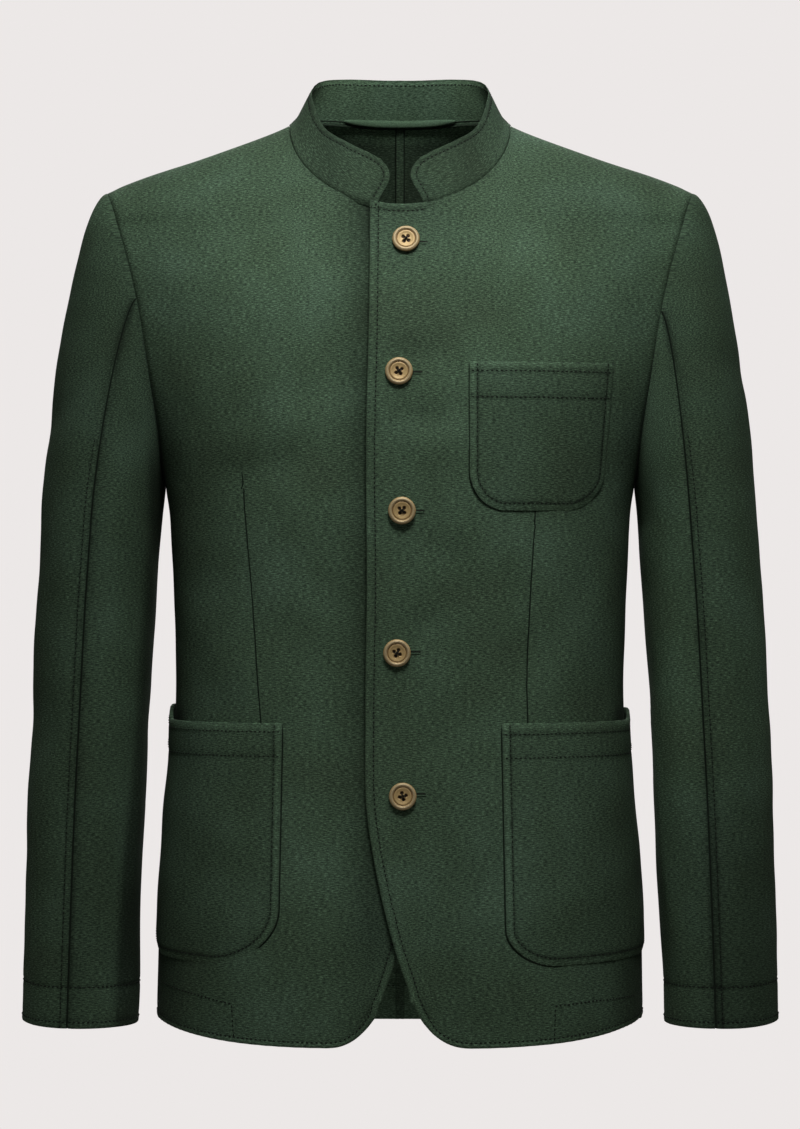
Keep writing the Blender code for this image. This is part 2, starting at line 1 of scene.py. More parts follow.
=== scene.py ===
import bpy
import numpy as np
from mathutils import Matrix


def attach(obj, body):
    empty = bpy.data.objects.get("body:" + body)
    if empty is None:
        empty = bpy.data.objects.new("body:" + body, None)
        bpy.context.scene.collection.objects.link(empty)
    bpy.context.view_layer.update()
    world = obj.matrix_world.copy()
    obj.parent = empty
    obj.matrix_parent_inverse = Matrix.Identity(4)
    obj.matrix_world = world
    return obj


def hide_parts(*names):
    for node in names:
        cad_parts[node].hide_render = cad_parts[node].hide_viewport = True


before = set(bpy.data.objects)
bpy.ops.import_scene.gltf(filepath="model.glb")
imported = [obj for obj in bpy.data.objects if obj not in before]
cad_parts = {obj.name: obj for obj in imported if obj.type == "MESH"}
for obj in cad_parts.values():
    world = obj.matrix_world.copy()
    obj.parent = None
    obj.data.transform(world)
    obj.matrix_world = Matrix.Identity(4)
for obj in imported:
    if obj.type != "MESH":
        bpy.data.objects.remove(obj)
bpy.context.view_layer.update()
print("frame loaded")

# metres; +x is the wearer's left, the front faces -y, z = 0 at the neck base


def tableCurve(rows, key, name, at):
    # cubic curve through a table's column, with slopes taken across neighbouring rows
    knots = np.array([row[key] for row in rows], float)
    values = np.array([row[name] for row in rows], float)
    slopes = np.gradient(values, knots)
    at = np.clip(at, knots[0], knots[-1])
    left = np.clip(np.searchsorted(knots, at, side="right") - 1, 0, len(knots) - 2)
    width = knots[left + 1] - knots[left]
    t = (at - knots[left]) / width
    ends = slopes[left] * width * t * (1 - t) ** 2 - slopes[left + 1] * width * t**2 * (1 - t)
    return values[left] + (values[left + 1] - values[left]) * t**2 * (3 - 2 * t) + ends


def ease(t):
    t = np.clip(t, 0, 1)
    return t**2 * (3 - 2 * t)


def bell(value, middle, spread):
    return np.exp(-(((value - middle) / spread) ** 2))


def signedPower(value, power):
    return np.sign(value) * np.abs(value) ** power


def unit(vectors):
    return vectors / np.maximum(np.linalg.norm(vectors, axis=-1, keepdims=True), 1e-12)


def onSide(points, mirror):
    # pieces are made for the wearer's left side and mirrored for the right
    return points * (-1, 1, 1) if mirror else points


# the body's form, close to the solids'; creases and ripples stay calm near a seam
cloth = dict(
    wall=0.0022, seamGap=0.0003, lift=0.0009, underlap=0.0031, tuckFullX=0.035, tuckEndX=0.085,
    seamBulge=0.0001, calm=0.025, edgeSpacing=0.0015,
)
body = dict(
    hemZ=-0.7197, backHemZ=-0.7245, sideHemRise=0.014, underarmZ=-0.285, shoulderZ=-0.051, shoulderX=0.2335,
    neckHalf=0.0885, neckDropFront=0.0702, neckRiseBack=0.010, neckMound=0.075, neckMoundSpread=0.045,
    shoulderSlope=0.361, shoulderBow=0.0016, bowPlace=0.028, bowSpread=0.030, bowStart=0.012,
    frontRoll=0.130, backRoll=0.115, widthBlend=0.025, squareness=2.4, armholeDepth=0.066,
    armholeSquareness=2.2, cornerRise=0.036, cornerStartX=0.011, cornerEndX=0.0575, cornerPower=2.4,
    overlapAngle=np.radians(195),
)
bodySections = (
    dict(z=-0.740, halfWidth=0.1945, front=0.1190, back=0.1170),
    dict(z=-0.640, halfWidth=0.1925, front=0.1180, back=0.1150),
    dict(z=-0.560, halfWidth=0.1875, front=0.1150, back=0.1090),
    dict(z=-0.460, halfWidth=0.1790, front=0.1110, back=0.1010),
    dict(z=-0.380, halfWidth=0.1810, front=0.1130, back=0.1050),
    dict(z=-0.285, halfWidth=0.1860, front=0.1180, back=0.1150),
    dict(z=-0.200, halfWidth=0.1900, front=0.1170, back=0.1210),
    dict(z=-0.130, halfWidth=0.1900, front=0.1060, back=0.1180),
    dict(z=-0.065, halfWidth=0.1900, front=0.0860, back=0.1040),
    dict(z=0.020, halfWidth=0.1900, front=0.0640, back=0.0730),
)
armholeEdge = (
    dict(z=-0.285, x=0.1870),
    dict(z=-0.250, x=0.1890),
    dict(z=-0.190, x=0.1975),
    dict(z=-0.140, x=0.2060),
    dict(z=-0.112, x=0.2128),
    dict(z=-0.082, x=0.2218),
    dict(z=-0.060, x=0.2292),
    dict(z=-0.051, x=0.2335),
)
frontEdge = (
    dict(z=-0.686, x=0.0110),
    dict(z=-0.658, x=0.0010),
    dict(z=-0.639, x=-0.0050),
    dict(z=-0.611, x=-0.0123),
    dict(z=-0.583, x=-0.0183),
    dict(z=-0.540, x=-0.0250),
    dict(z=-0.470, x=-0.0263),
    dict(z=-0.367, x=-0.0251),
    dict(z=-0.252, x=-0.0256),
    dict(z=-0.150, x=-0.0234),
    dict(z=-0.060, x=-0.0229),
)
armholeMidZ = (body["underarmZ"] + body["shoulderZ"]) / 2
armholeHalfHeight = (body["shoulderZ"] - body["underarmZ"]) / 2


def shoulderHeight(x):
    # a straight slope from the shoulder point, bowed up a little near it, with a mound at the neck
    toPoint = body["shoulderX"] - np.abs(x)
    mound = body["neckMound"] * bell(x, 0, body["neckMoundSpread"])
    bow = bell(toPoint, body["bowPlace"], body["bowSpread"]) * ease(toPoint / body["bowStart"])
    return body["shoulderZ"] + body["shoulderSlope"] * toPoint + mound + body["shoulderBow"] * bow


def rollOver(x, z, front):
    # quarter ellipse: nought at the shoulder seam, one a roll's height below it
    share = np.clip((shoulderHeight(x) - z) / body["frontRoll" if front else "backRoll"], 0, 1)
    return np.sqrt(1 - (1 - share) ** 2)


def armholeReach(z):
    # half-width at the armhole's seam, and the height it is read at, kept just below the shoulder point
    level = np.clip(z, body["underarmZ"], body["shoulderZ"] - 0.001)
    return tableCurve(armholeEdge, "z", "x", level), level


def sectionWidth(z, front):
    # half-width of the level section; above the underarm it is what makes the form meet the armhole oval
    n = body["squareness"]
    p = body["armholeSquareness"]
    below = tableCurve(bodySections, "z", "halfWidth", z)
    reach, level = armholeReach(z)
    full = tableCurve(bodySections, "z", "front" if front else "back", level) * rollOver(reach, level, front)
    height = np.clip(np.abs((level - armholeMidZ) / armholeHalfHeight), 0, 1)
    depth = body["armholeDepth"] * (1 - height**p) ** (1 / p)
    return np.where(z < body["underarmZ"], below, reach / (1 - (depth / full) ** n) ** (1 / n))


heightTable = np.linspace(-0.780, 0.080, 1721)
nearHeights = heightTable + body["widthBlend"] * np.linspace(-1, 1, 101)[:, None]
halfTables = {front: sectionWidth(nearHeights, front).mean(axis=0) for front in (True, False)}


def bodyHalf(z, front):
    # half-width averaged over a short height, so that no crease runs round the body at the underarm
    return np.interp(z, heightTable, halfTables[front])


def angleAt(x, z, front):
    share = np.clip(x / bodyHalf(z, front), -1, 1)
    return np.arcsin(signedPower(share, body["squareness"] / 2))


def edgeAngle(z, front):
    reach, level = armholeReach(z)
    return np.where(z < body["underarmZ"], np.pi / 2, angleAt(reach, level, front))


def bodyPoint(angle, z, front):
    # superellipse section of half-width A and depth B, x = A sin^(2/n) and y = B cos^(2/n), rolled over on top
    power = 2 / body["squareness"]
    depth = tableCurve(bodySections, "z", "front" if front else "back", z)
    x = bodyHalf(z, front) * signedPower(np.sin(angle), power)
    y = depth * np.abs(np.cos(angle)) ** power * rollOver(x, z, front)
    return np.stack([x, -y if front else y, z + 0 * x], axis=-1)


def wrapPoint(angle, z):
    # the same form with the angle run on past the side seam to the back
    front = bodyPoint(angle, z, True)
    back = bodyPoint(np.pi - angle, z, False)
    return np.where((angle < np.pi / 2)[..., None], front, back)


def wrapNormal(angle, z, step=0.004):
    around = wrapPoint(angle + step, z) - wrapPoint(angle - step, z)
    upward = wrapPoint(angle, z + step) - wrapPoint(angle, z - step)
    return unit(np.cross(around, upward))


def armholeLoop(turn):
    # oval seen from the side, laid on the slanting cut of the shoulder
    p = 2 / body["armholeSquareness"]
    z = armholeMidZ + armholeHalfHeight * signedPower(np.cos(turn), p)
    y = -body["armholeDepth"] * signedPower(np.sin(turn), p)
    return np.stack([tableCurve(armholeEdge, "z", "x", z), y, z], axis=-1)


def armholeOutward(turn):
    along = armholeLoop(turn + 0.02) - armholeLoop(turn - 0.02)
    return unit(np.stack([0 * turn, along[..., 2], -along[..., 1]], axis=-1))


def neckline(angle):
    x = body["neckHalf"] * np.sin(angle)
    drop = np.where(np.cos(angle) > 0, body["neckRiseBack"], body["neckDropFront"])
    return x, shoulderHeight(body["neckHalf"]) + drop * np.cos(angle)


def tuck(x):
    return 1 - ease((x - cloth["tuckFullX"]) / (cloth["tuckEndX"] - cloth["tuckFullX"]))


# meshes


def gridFaces(rows, columns):
    index = np.arange(rows * columns).reshape(rows, columns)
    quads = np.stack([index[:-1, :-1], index[:-1, 1:], index[1:, 1:], index[1:, :-1]], axis=-1).reshape(-1, 4)
    border = np.concatenate([index[0, :-1], index[:-1, -1], index[-1, :0:-1], index[:0:-1, 0]])
    return quads, border


def makeMesh(name, points, faces, uv=None):
    # whole arrays of points and of faces, all with as many corners, put straight into the mesh
    mesh = bpy.data.meshes.new(name)
    mesh.vertices.add(len(points))
    mesh.vertices.foreach_set("co", np.asarray(points, np.float32).ravel())
    mesh.loops.add(faces.size)
    mesh.loops.foreach_set("vertex_index", np.asarray(faces, np.int32).ravel())
    mesh.polygons.add(len(faces))
    mesh.polygons.foreach_set("loop_start", np.arange(0, faces.size, faces.shape[1], dtype=np.int32))
    mesh.polygons.foreach_set("use_smooth", np.ones(len(faces), bool))
    if uv is not None:
        layer = mesh.uv_layers.new(name="cloth")
        layer.data.foreach_set("uv", np.asarray(uv, np.float32)[faces.ravel()].ravel())
    mesh.update(calc_edges=True)
    mesh.validate()
    return mesh


def addPiece(name, mesh, material):
    piece = bpy.data.objects.new(name, mesh)
    bpy.context.scene.collection.objects.link(piece)
    mesh.materials.append(material)
    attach(piece, "root")
    return piece


def joinParts(name, parts, material):
    # many small shapes, each points and faces, made one piece
    points = np.concatenate([p for p, f in parts])
    starts = np.cumsum([0] + [len(p) for p, f in parts[:-1]])
    faces = np.concatenate([f + s for (p, f), s in zip(parts, starts)])
    return addPiece(name, makeMesh(name, points, faces), material)


def arcLengths(points):
    # metres run along the columns and along the rows of a grid
    across = np.linalg.norm(np.diff(points, axis=1), axis=2)
    upward = np.linalg.norm(np.diff(points, axis=0), axis=2)
    u = np.concatenate([np.zeros((points.shape[0], 1)), np.cumsum(across, axis=1)], axis=1)
    v = np.concatenate([np.zeros((1, points.shape[1])), np.cumsum(upward, axis=0)], axis=0)
    return u, v


def setValues(mesh, name, values):
    layer = mesh.attributes.new(name, "FLOAT", "POINT")
    layer.data.foreach_set("value", np.asarray(values, np.float32))


def makeShell(
    name, outer, normals, bulge, flip=False, paintedShade=None, inner=None, insideShade=0.0, level=True,
    wall=cloth["wall"],
):
    # cloth with two faces and a rounded edge: outer grid, the same grid set in, and a bulged rim between them
    rows, columns = outer.shape[:2]
    quads, border = gridFaces(rows, columns)
    inner = outer - wall * normals if inner is None else inner
    away = np.zeros_like(outer)
    away[0] += outer[0] - outer[1]
    away[-1] += outer[-1] - outer[-2]
    for side, beside in ((0, 1), (-1, -2)):
        length = np.linalg.norm(away[:, side], axis=1).clip(1e-4)[:, None]
        away[:, side] += unit(outer[:, side] - outer[:, beside]) * length
    flat = outer.reshape(-1, 3)
    deep = inner.reshape(-1, 3)
    out = bulge[:, None] * unit(away.reshape(-1, 3)[border])
    rims = [(flat[border] * (1 - s) + deep[border] * s) + out for s in (0.25, 0.75)]
    points = np.concatenate([flat, deep] + rims)
    shift = rows * columns
    first = 2 * shift + np.arange(len(border))
    second = first + len(border)
    loops = [border, first, second, border + shift]
    bands = [np.stack([np.roll(a, -1), a, b, np.roll(b, -1)], axis=-1) for a, b in zip(loops[:-1], loops[1:])]
    faces = np.concatenate([quads, quads[:, ::-1] + shift] + bands)
    u, v = arcLengths(outer)
    uv = np.stack([u.ravel(), (outer[..., 2] if level else v).ravel()], axis=-1)
    uv = np.concatenate([uv, uv, uv[border], uv[border]])
    mesh = makeMesh(name, points, faces[:, ::-1] if flip else faces, uv)
    # painted shade per point on the outside, copied to the rim, and on the inside; below nought it is painted
    # light
    press = np.zeros(shift) if paintedShade is None else paintedShade.ravel()
    setValues(mesh, "paintedShade", np.concatenate([press, insideShade + 0 * press, press[border], press[border]]))
    piece = addPiece(name + "_cloth", mesh, woolCloth)
    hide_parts(name)
    return piece


# sewing: each stitch is a short spindle laid along its path
stitch = dict(pitch=0.0037, length=0.0027, radius=0.00047, rise=0.00012, dive=0.0005, sides=6)


def runAlong(path):
    # metres run from the start of a path to each of its points
    return np.concatenate([[0], np.cumsum(np.linalg.norm(np.diff(path, axis=0), axis=1))])


def readAlong(run, values, at):
    return np.stack([np.interp(at, run, column) for column in values.T], axis=-1)


def stitchRow(path, normals, radius):
    # points and triangles of one row of stitches on a path with surface directions
    half = stitch["length"] / 2
    run = runAlong(path)
    middles = np.arange(stitch["pitch"] / 2, run[-1], stitch["pitch"])
    centre = readAlong(run, path, middles)
    along = unit(readAlong(run, path, middles + half) - readAlong(run, path, middles - half))
    up = unit(readAlong(run, normals, middles))
    side = unit(np.cross(up, along))
    up = np.cross(along, side)
    sides = stitch["sides"]
    turn = np.linspace(0, 2 * np.pi, sides, endpoint=False)
    ring = np.stack([np.cos(turn), np.sin(turn)], axis=-1) * radius
    template = [(-half, 0, -stitch["dive"])]
    template += [(-half / 2, a, b + stitch["rise"]) for a, b in ring]
    template += [(half / 2, a, b + stitch["rise"]) for a, b in ring]
    template += [(half, 0, -stitch["dive"])]
    template = np.array(template)
    axes = np.stack([along, side, up], axis=1)
    points = centre[:, None, :] + np.einsum("pk,nkj->npj", template, axes)
    i = np.arange(sides)
    j = (i + 1) % sides
    near, far, last = 1 + i, 1 + sides + i, 2 * sides + 1
    corners = (
        (0 * i, 1 + j, near),
        (near, 1 + j, far),
        (1 + j, 1 + sides + j, far),
        (far, 1 + sides + j, last + 0 * i),
    )
    faces = np.concatenate([np.stack(corner, axis=-1) for corner in corners])
    faces = (faces[None] + (np.arange(len(centre)) * len(template))[:, None, None]).reshape(-1, 3)
    return points.reshape(-1, 3), faces


def sewOn(name, paths, mirror=False, radius=stitch["radius"]):
    # rows of stitches, joined
    rows = [stitchRow(onSide(path, mirror), onSide(normals, mirror), radius) for path, normals in paths]
    return joinParts("topstitch_" + name, rows, greenThread)


def gridPath(points, normals, rows, columns):
    # a path given by fractional rows and columns of a grid
    r = np.clip(rows, 0, points.shape[0] - 1.001)
    c = np.clip(columns, 0, points.shape[1] - 1.001)
    i, j = r.astype(int), c.astype(int)
    s, t = (r - i)[:, None], (c - j)[:, None]

    def blend(values):
        low = values[i, j] * (1 - t) + values[i, j + 1] * t
        return low * (1 - s) + (values[i + 1, j] * (1 - t) + values[i + 1, j + 1] * t) * s

    return blend(points), unit(blend(normals))


def columnAt(u, distance):
    # fractional column, row by row, at a distance from the first column
    return np.array([np.interp(distance, row, np.arange(len(row))) for row in u])


def rowAt(v, distance):
    return columnAt(v.T, distance)


# materials


def hexColor(text):
    srgb = np.array([int(text[i : i + 2], 16) for i in (0, 2, 4)]) / 255
    linear = np.where(srgb <= 0.04045, srgb / 12.92, ((srgb + 0.055) / 1.055) ** 2.4)
    return (*linear, 1)


def addNode(tree, kind, links=(), **settings):
    # adds a node, or takes one that is there, sets its properties or sockets, and links
    # (socket, from node, from socket)
    node = tree.nodes.new(kind) if isinstance(kind, str) else kind
    for key, value in settings.items():
        if hasattr(node, key):
            setattr(node, key, value)
        else:
            node.inputs[key.replace("_", " ")].default_value = value
    for socket, source, output in links:
        tree.links.new(source.outputs[output], node.inputs[socket])
    return node


def newMaterial(name):
    material = bpy.data.materials.new(name)
    material.use_nodes = True
    return material, material.node_tree, material.node_tree.nodes["Principled BSDF"]


# the last entry is the wool's lightness where the painted shade is one
wool = dict(
    dark="253026", mid="3B4E3C", light="5F795F", stops=(0.38, 0.5, 0.62), fibreMm=0.85, streakMm=(3.4, 0.68),
    toneMm=70.0, bumpMm=0.45, sheen=0.03, sheenTint="8CA886", roughness=0.95, specular=0.15, paintedShadeValue=0.30,
)


def feltedWool(name, shade=1.0):
    # felted (boiled) wool: matt, with fine matted fibres in a melange of greens, drawn out along the weft
    material, tree, shader = newMaterial(name)
    place = addNode(tree, "ShaderNodeTexCoord")
    fibre = addNode(tree, "ShaderNodeTexNoise", [("Vector", place, "Object")],
                    Scale=1000 / wool["fibreMm"], Detail=3.0, Roughness=0.6)
    stretch = addNode(tree, "ShaderNodeMapping", [("Vector", place, "UV")],
                      Scale=(1000 / wool["streakMm"][0], 1000 / wool["streakMm"][1], 1.0))
    streak = addNode(tree, "ShaderNodeTexNoise", [("Vector", stretch, "Vector")],
                     Scale=1.0, Detail=3.0, Roughness=0.6)
    tone = addNode(tree, "ShaderNodeTexNoise", [("Vector", place, "Object")],
                   Scale=1000 / wool["toneMm"], Detail=2.0, Roughness=0.5)
    matted = addNode(tree, "ShaderNodeMix", [("A", fibre, "Fac"), ("B", streak, "Fac")], Factor=0.70)
    melange = addNode(tree, "ShaderNodeMix", [("A", matted, "Result"), ("B", tone, "Fac")], Factor=0.12)
    ramp = addNode(tree, "ShaderNodeValToRGB", [("Fac", melange, "Result")])
    stops = ramp.color_ramp.elements
    stops[0].position, middle, stops[1].position = wool["stops"]
    stops.new(middle)
    for stop, key in zip(stops, ("dark", "mid", "light")):
        stop.color = [c * shade for c in hexColor(wool[key])[:3]] + [1]
    # painted shade and light, stored on each piece's points, darken or lighten the wool
    paintedShade = addNode(tree, "ShaderNodeAttribute", attribute_name="paintedShade")
    value = addNode(tree, "ShaderNodeMapRange", [("Value", paintedShade, "Fac")],
                    To_Min=1.0, To_Max=wool["paintedShadeValue"], clamp=False)
    hue = addNode(tree, "ShaderNodeMapRange", [("Value", tone, "Fac")],
                  From_Min=0.3, From_Max=0.7, To_Min=0.485, To_Max=0.515)
    shaded = addNode(tree, "ShaderNodeHueSaturation",
                     [("Color", ramp, "Color"), ("Value", value, "Result"), ("Hue", hue, "Result")])
    bump = addNode(tree, "ShaderNodeBump", [("Height", matted, "Result")],
                   Strength=0.6, Distance=wool["bumpMm"] / 1000)
    addNode(tree, shader, [("Base Color", shaded, "Color"), ("Normal", bump, "Normal")],
            Roughness=wool["roughness"], Specular_IOR_Level=wool["specular"], Sheen_Weight=wool["sheen"],
            Sheen_Roughness=0.5, Sheen_Tint=hexColor(wool["sheenTint"]))
    return material


def sewingThread(name, color, twistMm=0.7143):
    # spun polyester thread: dark, slightly shiny, its twist a faint mottle
    material, tree, shader = newMaterial(name)
    place = addNode(tree, "ShaderNodeTexCoord")
    twist = addNode(tree, "ShaderNodeTexNoise", [("Vector", place, "Object")],
                    Scale=1000 / twistMm, Detail=2.0)
    ramp = addNode(tree, "ShaderNodeValToRGB", [("Fac", twist, "Fac")])
    for stop, shade in zip(ramp.color_ramp.elements, (0.7, 1.3)):
        stop.color = [c * shade for c in hexColor(color)[:3]] + [1]
    addNode(tree, shader, [("Base Color", ramp, "Color")], Roughness=0.75, Specular_IOR_Level=0.2)
    return material


def antiqueBrass(name, grimeMm=1.4286):
    # brass rubbed to a dull warm gleam: pale rim, brown groove, golden dish
    material, tree, shader = newMaterial(name)
    place = addNode(tree, "ShaderNodeTexCoord")
    wear = addNode(tree, "ShaderNodeAttribute", attribute_name="wear")
    grime = addNode(tree, "ShaderNodeTexNoise", [("Vector", place, "Object")],
                    Scale=1000 / grimeMm, Detail=4.0, Roughness=0.7)
    mixed = addNode(tree, "ShaderNodeMix", [("A", wear, "Fac"), ("B", grime, "Fac")], Factor=0.16)
    ramp = addNode(tree, "ShaderNodeValToRGB", [("Fac", mixed, "Result")])
    stops = ramp.color_ramp.elements
    stops[0].position, stops[1].position = 0.08, 0.92
    stops.new(0.5)
    for stop, color in zip(stops, ("4A3118", "AD9261", "A2916F")):
        stop.color = hexColor(color)
    bump = addNode(tree, "ShaderNodeBump", [("Height", grime, "Fac")], Strength=0.25, Distance=0.0001)
    addNode(tree, shader, [("Base Color", ramp, "Color"), ("Normal", bump, "Normal")],
            Metallic=0.25, Roughness=0.5)
    return material


woolCloth = feltedWool("felted_wool_green")
greenThread = sewingThread("sewing_thread_green", "10160F")
darkThread = sewingThread("button_thread_dark", "15150F")
# the same wool made dark, painted shadow for the clefts of seams
seamShade = feltedWool("felted_wool_seam_shadow", 0.16)
# the same wool made lighter for the hanger loop, painted light
litWool = feltedWool("felted_wool_loop_painted_light", 1.35)
brass = antiqueBrass("antique_brass")
print("materials made")


# paths and relief on a grid


def nearest(points, targets):
    # index of, and distance to, the nearest target of every point
    groups = np.array_split(points, max(1, len(points) * len(targets) // 3000000))
    found = []
    for group in groups:
        square = (group**2).sum(1)[:, None] + (targets**2).sum(1)[None] - 2 * group @ targets.T
        index = square.argmin(axis=1)
        found.append((index, np.sqrt(np.maximum(np.take_along_axis(square, index[:, None], 1)[:, 0], 0))))
    return np.concatenate([f[0] for f in found]), np.concatenate([f[1] for f in found])


def layOn(path, points, normals):
    # drops a path on a grid: to the nearest vertex, then on to the spot beside it
    index = nearest(path, points.reshape(-1, 3))[0]
    i, j = index // points.shape[1], index % points.shape[1]
    across = np.gradient(points, axis=1)[i, j]
    upward = np.gradient(points, axis=0)[i, j]
    gap = path - points[i, j]
    uu, vv, uv = (across**2).sum(1), (upward**2).sum(1), (across * upward).sum(1)
    a, b = (gap * across).sum(1), (gap * upward).sum(1)
    spread = uu * vv - uv**2
    row = i + np.clip((b * uu - a * uv) / spread, -1, 1)
    return gridPath(points, normals, row, j + np.clip((a * vv - b * uv) / spread, -1, 1))


def densePath(corners, spacing=0.002):
    corners = np.asarray(corners, float)
    run = runAlong(corners)
    return readAlong(run, corners, np.linspace(0, run[-1], max(2, int(run[-1] / spacing))))


def distanceTo(points, line, spacing=None):
    # how far each point of a grid is from a line, which is filled in first where a spacing is given
    line = densePath(line, spacing) if spacing else line
    return nearest(points.reshape(-1, 3), line)[1].reshape(points.shape[:2])


def frontPath(corners, spacing=0.002):
    # (x, z) places seen from the front, put on the front's form; places right of the middle are mirrored
    spots = densePath(corners, spacing)
    points = bodyPoint(angleAt(np.abs(spots[:, 0]), spots[:, 1], True), spots[:, 1], True)
    points[:, 0] = spots[:, 0]
    return points


def insetPath(line, normals, distance, spacing=0.002):
    # a path set in from an edge, towards the left of its direction of travel
    run = runAlong(line)
    at = np.linspace(0, run[-1], max(2, int(run[-1] / spacing)))
    points = readAlong(run, line, at)
    facing = unit(readAlong(run, normals, at))
    return points + distance * unit(np.cross(facing, unit(np.gradient(points, axis=0))))


def ripple(points, seed, size, height):
    # soft unevenness: a few plane waves of about the given wavelength, in set directions
    rng = np.random.default_rng(seed)
    waves = unit(rng.normal(size=(7, 3))) * (2 * np.pi / size) * rng.uniform(0.6, 1.5, (7, 1))
    return height * np.sin(points @ waves.T + rng.uniform(0, 2 * np.pi, 7)).sum(-1) / np.sqrt(7)


def creaseRelief(points, creases, pathOf):
    # each crease is a soft trough (or ridge) along a path, that fades out at both ends
    flat = points.reshape(-1, 3)
    relief = np.zeros(len(flat))
    for crease in creases:
        path = pathOf(crease["path"])
        index, away = nearest(flat, path)
        fade = np.sin(np.pi * index / (len(path) - 1)) ** 0.7
        relief += crease["height"] * fade * bell(away, 0, crease["width"])
    return relief.reshape(points.shape[:2])


# edges: a turned edge is a full lip, pressed in along its row of stitches; a seam is a shallow valley
edge = dict(
    stitchIn=0.0060, hemIn=0.0038, lip=0.0004, press=0.0005, pressWidth=0.0018,
    round=0.0006, roundWidth=0.0009, seamDip=0.0012, seamWidth=0.0028,
)


def lipRelief(distance, drop=0.0):
    lip = edge["lip"] * bell(distance, 0.0026, 0.0026) - edge["round"] * bell(distance, 0, edge["roundWidth"])
    return lip - edge["press"] * bell(distance + drop, edge["stitchIn"], edge["pressWidth"])


def hemDrop(z):
    # how much nearer the edge the stitches run along the hem
    return (edge["stitchIn"] - edge["hemIn"]) * ease((-0.692 - z) / 0.016)


def seamRelief(distance):
    return -edge["seamDip"] * bell(distance, 0, edge["seamWidth"])


def seamFade(points):
    # how clearly a seam shows: faint over the top of the shoulder and half as clear round the neck
    x, z = points[..., 0], points[..., 2]
    shoulder = 0.8 * ease((z + 0.25) / 0.10) * ease((x - 0.10) / 0.03)
    return 1 - shoulder - 0.45 * ease((0.105 - x) / 0.02) * ease((z + 0.11) / 0.02)


# painted shade along a seam's valley
def seamShadow(distance):
    return 0.36 * bell(distance, 0, 0.0026) + 0.18 * bell(distance, 0, 0.0085)


# painted shade along a row of stitches
def stitchShadow(distance, depth=0.30):
    return depth * bell(distance, edge["stitchIn"], 0.0014)


# body panels
panel = dict(lowRows=112, highRows=84, neckColumns=66, shoulderColumns=30, crowding=1.3, neckCrowding=1.35)


def panelGrid(front):
    # rows run from the hem up to the neck and shoulder, columns from the middle to the side
    share = np.linspace(0, 1, panel["neckColumns"] + 1)
    if front:
        turn = body["overlapAngle"] + (np.pi / 2 - body["overlapAngle"]) * share ** panel["neckCrowding"]
    else:
        turn = share * np.pi / 2
    neckX, neckZ = neckline(turn)
    seamX = np.linspace(body["neckHalf"], body["shoulderX"], panel["shoulderColumns"] + 1)[1:]
    topX = np.concatenate([neckX, seamX])
    topZ = np.concatenate([neckZ, shoulderHeight(seamX)])
    topZ[-1] = body["shoulderZ"]

    def innerX(z):
        return tableCurve(frontEdge, "z", "x", z) if front else 0 * z

    def innerAngle(z):
        return angleAt(innerX(z), z, front)

    def edgeX(z):
        return np.where(z < body["underarmZ"], bodyHalf(z, front), armholeReach(z)[0])

    topShare = (topX - innerX(topZ)) / (edgeX(topZ) - innerX(topZ))
    topShare[-1] = 1
    lowShare = np.linspace(0, 1, len(topX)) ** panel["crowding"]
    bottom = body["hemZ" if front else "backHemZ"]
    hemZ = np.full(len(topX), bottom)
    for _ in range(3):  # settles the hem, whose height depends on where its points lie across
        start = innerAngle(np.maximum(hemZ, bottom + body["cornerRise"]))
        x = bodyPoint(start + lowShare * (np.pi / 2 - start), hemZ, front)[:, 0]
        side = body["sideHemRise"] * np.clip(np.abs(x) / bodyHalf(hemZ, front), 0, 1) ** 4
        cut = np.clip((body["cornerEndX"] - x) / (body["cornerEndX"] - body["cornerStartX"]), 0, 1)
        hemZ = bottom + side + (body["cornerRise"] * cut ** body["cornerPower"] if front else 0)
    low = np.linspace(0, 1, panel["lowRows"], endpoint=False)[:, None] ** panel["crowding"]
    turns = np.linspace(np.pi, 0, panel["highRows"] + 1)
    high = ((armholeLoop(turns)[:, 2] - body["underarmZ"]) / (2 * armholeHalfHeight))[:, None]
    under = body["underarmZ"]
    z = np.concatenate([hemZ + (under - hemZ) * low, under + (topZ - under) * high])
    # low down the columns share out the angle round the body, higher up the width
    start = innerAngle(z)
    byAngle = bodyPoint(start + lowShare * (edgeAngle(z, front) - start), z, front)[..., 0]
    lowX = (byAngle - innerX(z)) / (edgeX(z) - innerX(z))
    across = lowX + (topShare - lowX) * ease((z - hemZ) / (topZ - hemZ))
    x = innerX(z) + across * (edgeX(z) - innerX(z))
    points = bodyPoint(angleAt(x, z, front), z, front)
    normals = np.cross(np.gradient(points, axis=1), np.gradient(points, axis=0))
    normals = unit(normals if front else -normals)
    # seam edges go on the seams, half a gap back, with their rims square to the seam
    rows = panel["lowRows"]
    loopTurns = turns if front else 2 * np.pi - turns
    points[rows:, -1] = armholeLoop(loopTurns)
    normals[:rows, -1, 1] = 0
    normals[-1, panel["neckColumns"] :, 1] = 0
    if not front:
        normals[:, 0, 0] = 0
        points[:, 0, 0] = cloth["seamGap"] / 2
    normals[-1, -panel["shoulderColumns"] :] += (0, 0, 1)
    normals[rows:, -1] = armholeOutward(loopTurns)
    sign = -1 if front else 1
    points[..., 1] = sign * np.maximum(sign * points[..., 1], cloth["seamGap"] / 2)
    return points, unit(normals)


frontPoints, frontNormals = panelGrid(True)
backPoints, backNormals = panelGrid(False)
print("panel forms made")


def makeBorder(points, first, side, last, middle):
    # bulge of the rim along the four edges of a grid, in the order that gridFaces goes round
    rows, columns = points.shape[:2]
    sizes = [columns - 1, rows - 1, columns - 1, rows - 1]
    return np.concatenate([np.full(n, b) for n, b in zip(sizes, (first, side, last, middle))])


